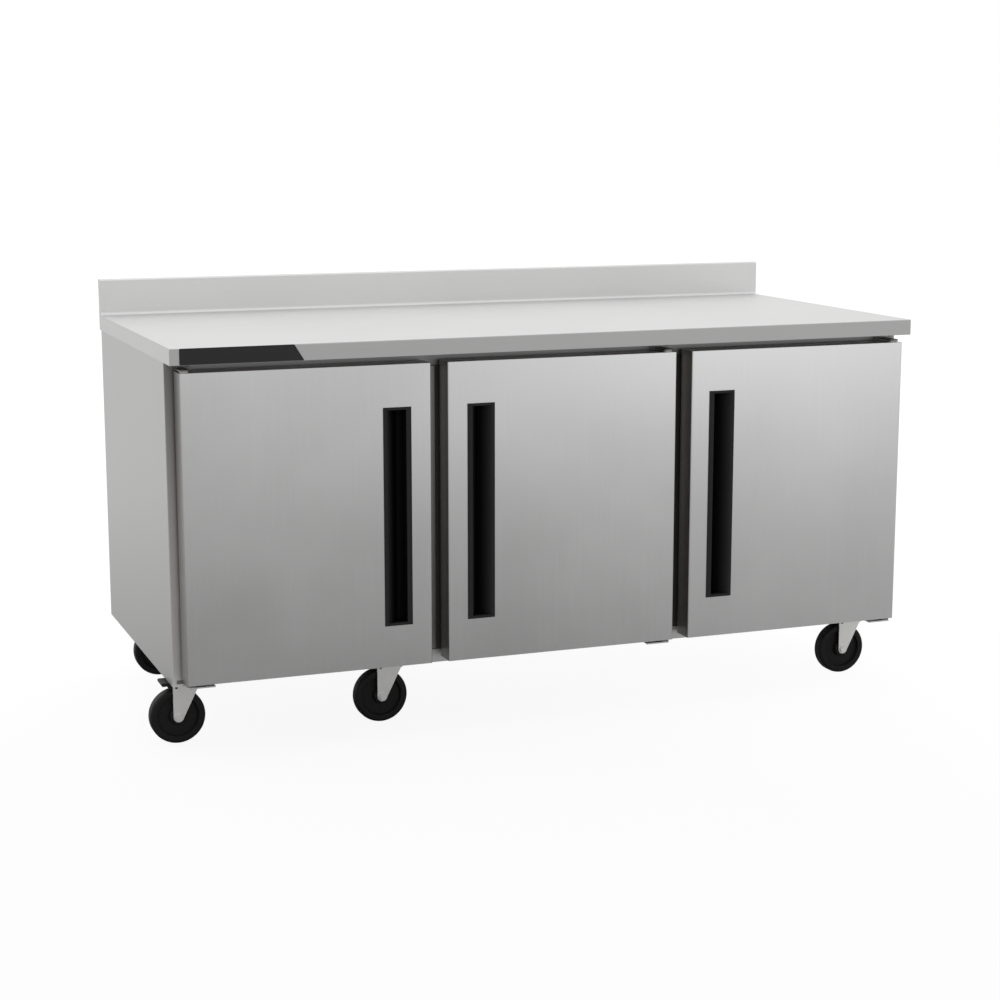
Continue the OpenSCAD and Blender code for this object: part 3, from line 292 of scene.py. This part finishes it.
def makeSpangle(look):
    group, given, made = newGroup("zinc spangle", ["Vector"], ["Scale"], ["Crystal", "Bloom"])
    bend = noise(group, given["Vector"], **look["bend"])
    wobble = {0: (look["wobble"],) * 3, 1: bend, 2: given["Vector"]}
    bent = addNode(group, "ShaderNodeVectorMath", wobble, operation="MULTIPLY_ADD").outputs[0]
    cells = addNode(group, "ShaderNodeTexVoronoi", {"Vector": bent, "Scale": given["Scale"]})
    crystal = addNode(group, "ShaderNodeSeparateColor", {"Color": cells.outputs["Color"]}).outputs[0]
    group.links.new(crystal, made["Crystal"])
    group.links.new(noise(group, given["Vector"], **look["bloom"]), made["Bloom"])
    return group


def makeDust(look):
    group, given, made = newGroup("settled dust", ["Vector"], ["Amount"], ["Mask"])
    lying = ramp(group, facing(group, "Z"), *look["lies"])
    speck = noise(group, given["Vector"], **look["speck"])
    mask = calc(group, "MULTIPLY", calc(group, "MULTIPLY", lying, speck), given["Amount"])
    group.links.new(mask, made["Mask"])
    return group


brushedGrain = makeBrushedGrain(brushedLook)
mouldedGrain = makeMouldedGrain(mouldedLook)
zincSpangle = makeSpangle(spangleLook)
settledDust = makeDust(dustLook)
print("effects built")


# finishes

shadeSpan = (0.9, 1.1)  # the grain's shades that take the dark and the light colour
squareSpan = (0.3, 0.8)  # how squarely a face looks along an axis where a tone starts, and where it is full
mouldSpread = (-0.05, 0.06)  # on the roughness, from dark mottles to light ones
zincSpread = (0.08, -0.04)
brushDepth = 0.0004
mouldDepth = 0.0003
zincDepth = 0.0005
zincBump = 0.05
dustColour = grey(0.45, 0.03)


def newFinish(name):
    material = bpy.data.materials.new(name)
    material.use_nodes = True
    tree = material.node_tree
    place = addNode(tree, "ShaderNodeTexCoord").outputs["Object"]
    return material, tree, tree.nodes["Principled BSDF"], place


def useGroup(tree, group, inputs):
    return addNode(tree, "ShaderNodeGroup", inputs, node_tree=group).outputs


def roughened(tree, shader, value, middle, spread):
    tree.links.new(remap(tree, value, middle + spread[0], middle + spread[1]), shader.inputs["Roughness"])


def bumped(tree, shader, height, strength, distance):
    inputs = {"Height": height, "Strength": strength, "Distance": distance}
    tree.links.new(addNode(tree, "ShaderNodeBump", inputs).outputs[0], shader.inputs["Normal"])


def paintLightBand(tree, place, colour, band):
    # painted light or shade: another tone between two heights, on faces that look along an axis: to one
    # side, or to both for side 0
    height = along(tree, place, "Z")
    rise = ramp(tree, height, band["low"], band["high"])
    tone = mixColours(tree, rise, band["foot"], band.get("head", band["foot"]))
    outward = facing(tree, band["axis"])
    if band["side"]:
        square = calc(tree, "MULTIPLY", outward, band["side"])
    else:
        square = calc(tree, "ABSOLUTE", outward)
    above = calc(tree, "GREATER_THAN", height, band["low"])
    below = calc(tree, "LESS_THAN", height, band["high"])
    mask = calc(tree, "MULTIPLY", ramp(tree, square, *squareSpan), calc(tree, "MULTIPLY", above, below))
    return mixColours(tree, mask, colour, tone, blend_type="MULTIPLY")


def paintRecessShade(tree, place, colour, recess):
    # painted shade: darker with depth behind the front
    near = ramp(tree, along(tree, place, "Y"), recess["front"] + recess["depth"], recess["front"])
    return mixColours(tree, calc(tree, "POWER", near, recess["fall"]), recess["tone"], colour)


def brushedSteel(name, setup):
    material, tree, shader, place = newFinish(name)
    grain = useGroup(tree, brushedGrain, {
        "Vector": place, "Stretch": setup["stretch"], "Streaks": setup["streaks"],
        "Clouds": setup["clouds"], "Roughness": setup["roughness"],
    })
    colour = mixColours(tree, ramp(tree, grain["Shade"], *shadeSpan), setup["dark"], setup["light"])
    # each band paints light or shade into the steel's colour
    for band in setup.get("paintedLightBands", []):
        colour = paintLightBand(tree, place, colour, band)
    tree.links.new(colour, shader.inputs["Base Color"])
    tree.links.new(grain["Roughness"], shader.inputs["Roughness"])
    shader.inputs["Metallic"].default_value = 1.0
    shader.inputs["Anisotropic"].default_value = setup["drawn"]
    bumped(tree, shader, grain["Height"], setup["bump"], brushDepth)
    return material


def mouldedPlastic(name, setup):
    material, tree, shader, place = newFinish(name)
    grain = useGroup(tree, mouldedGrain, {"Vector": place, "Scale": setup["grain"]})
    colour = mixColours(tree, grain["Mottle"], setup["dark"], setup["light"])
    if "recess" in setup:
        colour = paintRecessShade(tree, place, colour, setup["recess"])
    if "dust" in setup:
        film = useGroup(tree, settledDust, {"Vector": place, "Amount": setup["dust"]})["Mask"]
        colour = mixColours(tree, film, colour, dustColour)
    tree.links.new(colour, shader.inputs["Base Color"])
    roughened(tree, shader, grain["Mottle"], setup["roughness"], mouldSpread)
    shader.inputs["Specular IOR Level"].default_value = setup["gloss"]
    bumped(tree, shader, grain["Height"], setup["bump"], mouldDepth)
    return material


def platedSteel(name, setup):
    material, tree, shader, place = newFinish(name)
    zinc = useGroup(tree, zincSpangle, {"Vector": place, "Scale": setup["cells"]})
    mixed = blend(tree, zinc["Crystal"], zinc["Bloom"], setup["contrast"])
    tree.links.new(mixColours(tree, mixed, setup["dark"], setup["light"]), shader.inputs["Base Color"])
    roughened(tree, shader, mixed, setup["roughness"], zincSpread)
    shader.inputs["Metallic"].default_value = 1.0
    bumped(tree, shader, zinc["Bloom"], zincBump, zincDepth)
    return material


upright = (1.0, 1.0, 0.012)
lengthwise = (0.012, 1.0, 1.0)
edgeTop = 0.9135  # just under the working height
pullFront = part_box("left_door_handle")[0].y

doorSteel = brushedSteel("upright brushed steel", {
    "stretch": upright, "streaks": 0.10, "clouds": 0.20, "roughness": 0.30,
    "dark": grey(0.465), "light": grey(0.59), "bump": 0.05, "drawn": 0.5,
    # painted shade on the doors' side edges, which face into the gaps between the doors
    "paintedLightBands": [{"axis": "X", "side": 0, "low": 0.0, "high": 1.0, "foot": grey(0.60, 0.03)}],
})
topSteel = brushedSteel("lengthwise brushed steel", {
    "stretch": lengthwise, "streaks": 0.16, "clouds": 0.10, "roughness": 0.55,
    "dark": grey(0.55, 0.004), "light": grey(0.665, 0.004), "bump": 0.04, "drawn": 0.0,
    "paintedLightBands": [
        # painted shade on the worktop's front edge
        {"axis": "Y", "side": -1, "low": 0.0, "high": edgeTop, "foot": grey(0.70)},
        # painted light on the backsplash's front face
        {"axis": "Y", "side": -1, "low": edgeTop, "high": 1.1, "foot": grey(1.09)},
    ],
})
sideSteel = brushedSteel("side panel steel", {
    "stretch": upright, "streaks": 0.08, "clouds": 0.06, "roughness": 0.38,
    "dark": grey(0.44, 0.006), "light": grey(0.545, 0.006), "bump": 0.05, "drawn": 0.3,
    # painted light low on the side panels' front flanges, painted shadow at their top under the worktop
    "paintedLightBands": [{
        "axis": "Y", "side": -1, "low": 0.0, "high": 1.0,
        "foot": grey(1.63, 0.02), "head": grey(0.23, 0.02),
    }],
})
faceSteel = brushedSteel("front frame steel", {
    "stretch": lengthwise, "streaks": 0.08, "clouds": 0.05, "roughness": 0.40,
    "dark": grey(0.46), "light": grey(0.56), "bump": 0.04, "drawn": 0.0,
    # painted shade on the header, in the shadow under the worktop
    "paintedLightBands": [{"axis": "Y", "side": -1, "low": 0.80, "high": 1.0, "foot": grey(0.42)}],
})
# painted shade: a darker copy of the steel for the strips set back in the gaps between the doors
shadedStripSteel = brushedSteel("post strip steel with painted shade", {
    "stretch": upright, "streaks": 0.08, "clouds": 0.05, "roughness": 0.40,
    "dark": grey(0.27, 0.02), "light": grey(0.36, 0.02), "bump": 0.04, "drawn": 0.0,
})
sheetZinc = platedSteel("galvanised sheet", {
    "cells": 110.0, "contrast": 0.35, "roughness": 0.42,
    "dark": grey(0.42, -0.02), "light": grey(0.58, -0.02),
})
brightZinc = platedSteel("bright zinc plate", {
    "cells": 240.0, "contrast": 0.25, "roughness": 0.42,
    "dark": grey(0.64, 0.01), "light": grey(0.76, 0.01),
})
linerSheet = platedSteel("satin aluminium sheet", {
    "cells": 420.0, "contrast": 0.3, "roughness": 0.38,
    "dark": grey(0.66, -0.006), "light": grey(0.80, -0.006),
})
finSheet = platedSteel("fin aluminium", {
    "cells": 300.0, "contrast": 0.3, "roughness": 0.30,
    "dark": grey(0.62, -0.01), "light": grey(0.82, -0.01),
})
coatedFin = platedSteel("dark coated fins", {
    "cells": 300.0, "contrast": 0.3, "roughness": 0.45,
    "dark": grey(0.05), "light": grey(0.10),
})
drawnCopper = platedSteel("drawn copper", {
    "cells": 160.0, "contrast": 0.2, "roughness": 0.28,
    "dark": (0.48, 0.20, 0.10, 1), "light": (0.80, 0.42, 0.27, 1),
})
hingeSteel = platedSteel("dark plated steel", {
    "cells": 260.0, "contrast": 0.3, "roughness": 0.40,
    "dark": grey(0.14), "light": grey(0.24),
})
pullPlastic = mouldedPlastic("pull plastic", {
    "grain": 1500.0, "roughness": 0.50, "gloss": 0.08, "bump": 0.10,
    "dark": grey(0.026), "light": grey(0.036),
    # painted shade deepening into the pulls' pockets
    "recess": {"front": pullFront, "depth": 0.022, "fall": 1.8, "tone": grey(0.0006)},
})
framePlastic = mouldedPlastic("black frame plastic", {
    "grain": 1200.0, "roughness": 0.48, "gloss": 0.4, "bump": 0.12,
    "dark": grey(0.030, 0.04), "light": grey(0.046, 0.04),
})
sealRubber = mouldedPlastic("seal rubber", {
    "grain": 700.0, "roughness": 0.55, "gloss": 0.35, "bump": 0.08,
    "dark": grey(0.050, 0.03), "light": grey(0.075, 0.03),
})
treadRubber = mouldedPlastic("tread rubber", {
    "grain": 800.0, "roughness": 0.55, "gloss": 0.2, "bump": 0.15, "dust": 0.05,
    "dark": grey(0.004), "light": grey(0.009),
})
blackCoat = mouldedPlastic("black coated steel", {
    "grain": 1000.0, "roughness": 0.50, "gloss": 0.22, "bump": 0.06, "dust": 0.03,
    "dark": grey(0.006), "light": grey(0.012),
})
potEnamel = mouldedPlastic("black enamel", {
    "grain": 400.0, "roughness": 0.22, "gloss": 0.6, "bump": 0.05,
    "dark": grey(0.010), "light": grey(0.018),
})
plateBlack = mouldedPlastic("plate black", {
    "grain": 2000.0, "roughness": 0.34, "gloss": 0.35, "bump": 0.03,
    "dark": grey(0.006), "light": grey(0.010),
})
bushNylon = mouldedPlastic("bush nylon", {
    "grain": 900.0, "roughness": 0.45, "gloss": 0.4, "bump": 0.05,
    "dark": grey(0.66, 0.02), "light": grey(0.78, 0.02),
})
wireCoat = mouldedPlastic("shelf wire coat", {
    "grain": 600.0, "roughness": 0.35, "gloss": 0.5, "bump": 0.08,
    "dark": grey(0.66, -0.01), "light": grey(0.80, -0.01),
})
rigidFoam = mouldedPlastic("rigid foam", {
    "grain": 500.0, "roughness": 0.85, "gloss": 0.15, "bump": 0.5,
    "dark": (0.66, 0.55, 0.34, 1), "light": (0.86, 0.77, 0.54, 1),
})
coreBoard = mouldedPlastic("core board", {
    "grain": 260.0, "roughness": 0.8, "gloss": 0.2, "bump": 0.4,
    "dark": (0.34, 0.25, 0.15, 1), "light": (0.56, 0.44, 0.29, 1),
})

doorSides = ("left", "centre", "right")
casterPlaces = [row + "_" + side for row in ("front", "rear") for side in ("left", "middle", "right")]
finishes = [
    (topSteel, ["worktop"]),
    (sideSteel, ["left_side_panel", "right_side_panel"]),
    (faceSteel, ["front_frame"]),
    (doorSteel, [d + "_door_skin" for d in doorSides]),
    (coreBoard, ["worktop_core"]),
    (sheetZinc, ["rear_panel", "base_panel", "rear_grille"]),
    (rigidFoam, ["cabinet_insulation"] + [d + "_door_foam" for d in doorSides]),
    (linerSheet, ["inner_liner", "shelf_supports", "evaporator_cover", "drain_pan"]),
    (linerSheet, [d + "_door_liner" for d in doorSides]),
    (framePlastic, ["breaker_frame", "evaporator_fan", "condenser_fan", "control_box"]),
    (wireCoat, ["shelf_left", "shelf_centre", "shelf_right"]),
    (finSheet, ["evaporator_coil"]),
    (coatedFin, ["condenser_coil"]),
    (blackCoat, ["fan_motors"] + [p + "_pedal" for p in casterPlaces[:3]]),
    (potEnamel, ["compressor"]),
    (drawnCopper, ["refrigerant_lines"]),
    (hingeSteel, ["hinge_brackets"]),
    (brightZinc, ["caster_plates"] + [p + "_fork" for p in casterPlaces]),
    (sealRubber, [d + "_door_gasket" for d in doorSides]),
    (pullPlastic, [d + "_door_handle" for d in doorSides]),
    (bushNylon, [d + "_door_bushes" for d in doorSides]),
    (treadRubber, [p + "_wheel" for p in casterPlaces]),
]


def dress(material, names):
    for name in names:
        node = frame["nodes"][name]
        if not node.material_slots:
            node.data.materials.append(material)
        for slot in node.material_slots:
            slot.material = material


for material, names in finishes:
    dress(material, names)
print("finishes on", sum(len(names) for _, names in finishes), "nodes")


# modelling helpers

faceOn = 0.9  # part of a normal along the axis that its face looks along
flatOn = 0.999
nearly = 1e-5
roundSteps = 3
smoothAngle = math.radians(35)


def clearSelection():
    if bpy.context.mode != "OBJECT":
        bpy.ops.object.mode_set(mode="OBJECT")
    bpy.ops.object.select_all(action="DESELECT")


def selectPieces(pieces):
    clearSelection()
    for piece in pieces:
        piece.select_set(True)
    bpy.context.view_layer.objects.active = pieces[0]


def settle():
    bpy.ops.object.transform_apply(location=True, rotation=True, scale=True)


def addBlock(centre, size):
    clearSelection()
    bpy.ops.mesh.primitive_cube_add(size=1, location=centre, scale=size)
    settle()
    return bpy.context.object


def addDisc(sides, radius, low, high):
    clearSelection()
    tall = high - low
    middle = (0, 0, low + tall / 2)
    bpy.ops.mesh.primitive_cylinder_add(vertices=sides, radius=radius, depth=tall, location=middle)
    settle()
    return bpy.context.object


def startPick(kind):
    bpy.ops.object.mode_set(mode="EDIT")
    bpy.ops.mesh.select_mode(type=kind)
    bpy.ops.mesh.select_all(action="DESELECT")
    bpy.ops.object.mode_set(mode="OBJECT")


def pickFaces(piece, test):
    startPick("FACE")
    for face in piece.data.polygons:
        face.select = test(face)
    bpy.ops.object.mode_set(mode="EDIT")


def pickEdges(piece, test):
    startPick("EDGE")
    points = piece.data.vertices
    for edge in piece.data.edges:
        edge.select = test(points[edge.vertices[0]].co, points[edge.vertices[1]].co)
    bpy.ops.object.mode_set(mode="EDIT")


def extrude(step):
    bpy.ops.mesh.extrude_region_move(TRANSFORM_OT_translate={"value": step})


def roundEdges(radius, steps=roundSteps):
    bpy.ops.mesh.bevel(offset=radius, segments=steps, affect="EDGES")


def joinPieces(pieces):
    selectPieces(pieces)
    settle()
    bpy.ops.object.join()


def finishPiece(piece, name, material, body="root"):
    selectPieces([piece])
    piece.name = name
    piece.data.name = name
    piece.data.materials.clear()
    piece.data.materials.append(material)
    settle()
    bpy.ops.object.shade_smooth_by_angle(angle=smoothAngle)
    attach(piece, body)


def setCopies(master, name, spots, turn, material):
    copies = []
    for spot in spots:
        selectPieces([master])
        bpy.ops.object.duplicate()
        copy = bpy.context.object
        copy.location = spot
        copy.rotation_euler = turn
        copies.append(copy)
    joinPieces(copies)
    finishPiece(copies[0], name, material)


jointPlaces = {joint["name"]: Vector(joint["pos_m"]) for joint in frame["joints"]}


# blank plate on the worktop's front edge

namePlate = {
    "inFromCorner": 0.022,
    "length": 0.2755,
    "height": 0.0355,
    "aboveFold": 0.0005,
    "thickness": 0.0014,
    "slant": 0.022,  # the upper right corner stands back by this much
    "cornerRadius": 0.002,
    "rim": 0.0016,
    "sink": 0.0004,
}


def makeNamePlate(setup):
    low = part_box("worktop")[0]
    size = Vector((setup["length"], setup["thickness"], setup["height"]))
    corner = Vector((low.x + setup["inFromCorner"], low.y - size.y, low.z + setup["aboveFold"]))
    centre = corner + size / 2
    plate = addBlock(centre, size)
    pickEdges(plate, lambda a, b: min(a.x, b.x) > centre.x and min(a.z, b.z) > centre.z)
    bpy.ops.transform.translate(value=(-setup["slant"], 0, 0))
    pickEdges(plate, lambda a, b: abs(a.y - b.y) > size.y / 2)
    roundEdges(setup["cornerRadius"])
    pickFaces(plate, lambda face: face.normal.y < -faceOn)
    bpy.ops.mesh.inset(thickness=setup["rim"])
    bpy.ops.mesh.inset(thickness=setup["sink"], depth=-setup["sink"])
    finishPiece(plate, "name_plate", plateBlack)


makeNamePlate(namePlate)
print("name plate made")


# steel strips down the middle of the posts between the doors

postStrip = {"width": 0.024, "thickness": 0.0010, "shortOf": 0.015, "fold": 0.0022, "crown": 0.0006}


def makePostStrips(setup):
    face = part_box("breaker_frame")[0].y
    strips = []
    for leftSide, rightSide in zip(doorSides[:-1], doorSides[1:]):
        low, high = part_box(leftSide + "_door_skin")
        middle = (high.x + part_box(rightSide + "_door_skin")[0].x) / 2
        size = Vector((setup["width"], setup["thickness"], high.z - low.z - 2 * setup["shortOf"]))
        strip = addBlock((middle, face - size.y / 2, (low.z + high.z) / 2), size)
        pickFaces(strip, lambda side: side.normal.y < -faceOn)
        bpy.ops.mesh.inset(thickness=setup["fold"])
        bpy.ops.transform.translate(value=(0, -setup["crown"], 0))
        strips.append(strip)
    joinPieces(strips)
    finishPiece(strips[0], "post_strips", shadedStripSteel)


makePostStrips(postStrip)
print("post strips made")


# folded lip under the sill and one under each lower hinge plate

sillLip = {"drop": 0.007, "thickness": 0.0016, "back": 0.010, "round": 0.0010}
hingeLip = {
    "length": 0.058,
    "inward": 0.021,  # its middle, from the pin towards the door's middle
    "drop": 0.0030,
    "thickness": 0.0016,
    "back": 0.020,
    "round": 0.0008,
}
hingePlate = {"reach": 0.012, "under": 0.006}


def makeAngle(setup, length, way):
    # an upright strip with a level leg to the rear, at its upper edge for way 1 and at its lower one for -1
    thickness = setup["thickness"]
    half = (setup["drop"] - thickness) / 2
    angle = addBlock((0, 0, 0), (length, thickness, 2 * half))
    pickFaces(angle, lambda face: face.normal.z * way > faceOn)
    extrude((0, 0, way * thickness))
    pickFaces(angle, lambda face: face.normal.y > faceOn and face.center.z * way > half)
    extrude((0, setup["back"], 0))
    outer = half + thickness - nearly
    pickEdges(angle, lambda a, b: min(a.z * way, b.z * way) > outer and max(a.y, b.y) < 0)
    roundEdges(setup["round"])
    bpy.ops.object.mode_set(mode="OBJECT")
    return angle


def makeSillLip(setup):
    low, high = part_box("front_frame")
    drop, thickness = setup["drop"], setup["thickness"]
    lip = makeAngle(setup, high.x - low.x, -1)
    lip.location = ((low.x + high.x) / 2, low.y + thickness / 2, low.z - (drop - thickness) / 2)
    finishPiece(lip, "sill_lip", faceSteel)


def makeHingeLips(setup, plate):
    drop, thickness = setup["drop"], setup["thickness"]
    lip = makeAngle(setup, setup["length"], 1)
    front = -plate["reach"] + thickness / 2
    spots = []
    for side in doorSides:
        low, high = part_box(side + "_door_skin")
        pivot = jointPlaces[side + "_door_hinge"]
        toMiddle = setup["inward"] if pivot.x < (low.x + high.x) / 2 else -setup["inward"]
        under = low.z - plate["under"] - thickness - (drop - thickness) / 2
        spots.append((pivot.x + toMiddle, pivot.y + front, under))
    setCopies(lip, "hinge_lips", spots, (0, 0, 0), faceSteel)
    bpy.data.objects.remove(lip)


makeSillLip(sillLip)
makeHingeLips(hingeLip, hingePlate)
print("lips made")


# fasteners: one of each kind is modelled, then copied to its places

panScrew = {
    "sides": 20, "radius": 0.0038, "height": 0.0022, "round": 0.0010, "steps": 3,
    "socket": 0.0016, "deep": 0.0009,
}
smallScrew = {
    "sides": 16, "radius": 0.0028, "height": 0.0017, "round": 0.0008, "steps": 3,
    "socket": 0.0012, "deep": 0.0007,
}
plateBolt = {
    "sides": 6, "radius": 0.0072, "height": 0.0050, "round": 0.0007, "steps": 3,
    "washer": {"sides": 28, "radius": 0.0084, "height": 0.0012, "round": 0.0004, "steps": 2},
}


def makeDisc(setup, foot):
    disc = addDisc(setup["sides"], setup["radius"], foot, setup["height"])
    pickFaces(disc, lambda face: face.normal.z > faceOn)
    roundEdges(setup["round"], setup["steps"])
    return disc


def makeHead(setup):
    washer = setup.get("washer")
    head = makeDisc(setup, washer["height"] if washer else 0.0)
    if "socket" in setup:
        top = setup["height"] - nearly
        pickFaces(head, lambda face: face.normal.z > flatOn and face.center.z > top)
        bpy.ops.mesh.inset(thickness=setup["radius"] - setup["round"] - setup["socket"])
        extrude((0, 0, -setup["deep"]))
    if washer:
        joinPieces([head, makeDisc(washer, 0.0)])
    clearSelection()
    return head


toFront = (math.pi / 2, 0, 0)
toRear = (-math.pi / 2, 0, 0)
downward = (math.pi, 0, 0)

casterBolts = {"x": 0.0355, "y": 0.0215, "plate": 0.0035}
hingeScrews = {"apart": 0.017, "above": 0.010, "below": 0.007, "legThick": 0.003}
rearScrews = {"in": 0.012, "columns": 7, "rows": 4, "low": 0.020, "high": 0.022}
grilleScrews = {"in": 0.008, "columns": 4, "rows": 3, "sheet": 0.0012}
coverScrews = {"in": 0.012, "face": 0.003}


def boltSpots(setup):
    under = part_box("base_panel")[0].z - setup["plate"]
    spots = []
    for place in casterPlaces:
        swivel = jointPlaces[place + "_swivel"]
        for x in (-setup["x"], setup["x"]):
            for y in (-setup["y"], setup["y"]):
                spots.append((swivel.x + x, swivel.y + y, under))
    return spots


def hingeSpots(setup):
    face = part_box("front_frame")[0].y - setup["legThick"]
    spots = []
    for side in doorSides:
        low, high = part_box(side + "_door_skin")
        pivot = jointPlaces[side + "_door_hinge"].x
        for x in (pivot - setup["apart"], pivot + setup["apart"]):
            spots += [(x, face, low.z - setup["below"]), (x, face, high.z + setup["above"])]
    return spots


def between(start, end, count):
    return [start + (end - start) * step / (count - 1) for step in range(count)]


def rearSpots(setup):
    low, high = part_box("rear_panel")
    across = between(low.x + setup["in"], high.x - setup["in"], setup["columns"])
    upward = between(low.z + setup["low"], high.z - setup["high"], setup["rows"])
    top = [(x, high.y, upward[-1]) for x in across]
    sides = [(x, high.y, z) for x in (across[0], across[-1]) for z in upward[:-1]]
    return top + sides


def grilleSpots(setup):
    low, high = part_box("rear_grille")
    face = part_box("rear_panel")[1].y + setup["sheet"]
    across = between(low.x + setup["in"], high.x - setup["in"], setup["columns"])
    upward = between(low.z + setup["in"], high.z - setup["in"], setup["rows"])
    ends = [(x, face, z) for x in (across[0], across[-1]) for z in upward]
    return ends + [(x, face, z) for x in across[1:-1] for z in (upward[0], upward[-1])]


def coverSpots(setup):
    low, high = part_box("evaporator_cover")
    inset = setup["in"]
    return [(x, low.y + setup["face"], z) for x in (low.x + inset, high.x - inset)
            for z in (low.z + inset, high.z - inset)]


boltHead = makeHead(plateBolt)
screwHead = makeHead(panScrew)
smallHead = makeHead(smallScrew)
setCopies(boltHead, "caster_bolts", boltSpots(casterBolts), downward, brightZinc)
setCopies(smallHead, "hinge_screws", hingeSpots(hingeScrews), toFront, hingeSteel)
setCopies(screwHead, "rear_panel_screws", rearSpots(rearScrews), toRear, brightZinc)
setCopies(screwHead, "rear_grille_screws", grilleSpots(grilleScrews), toRear, brightZinc)
setCopies(smallHead, "evaporator_cover_screws", coverSpots(coverScrews), toFront, brightZinc)
for master in (boltHead, screwHead, smallHead):
    bpy.data.objects.remove(master)
print("fasteners set")
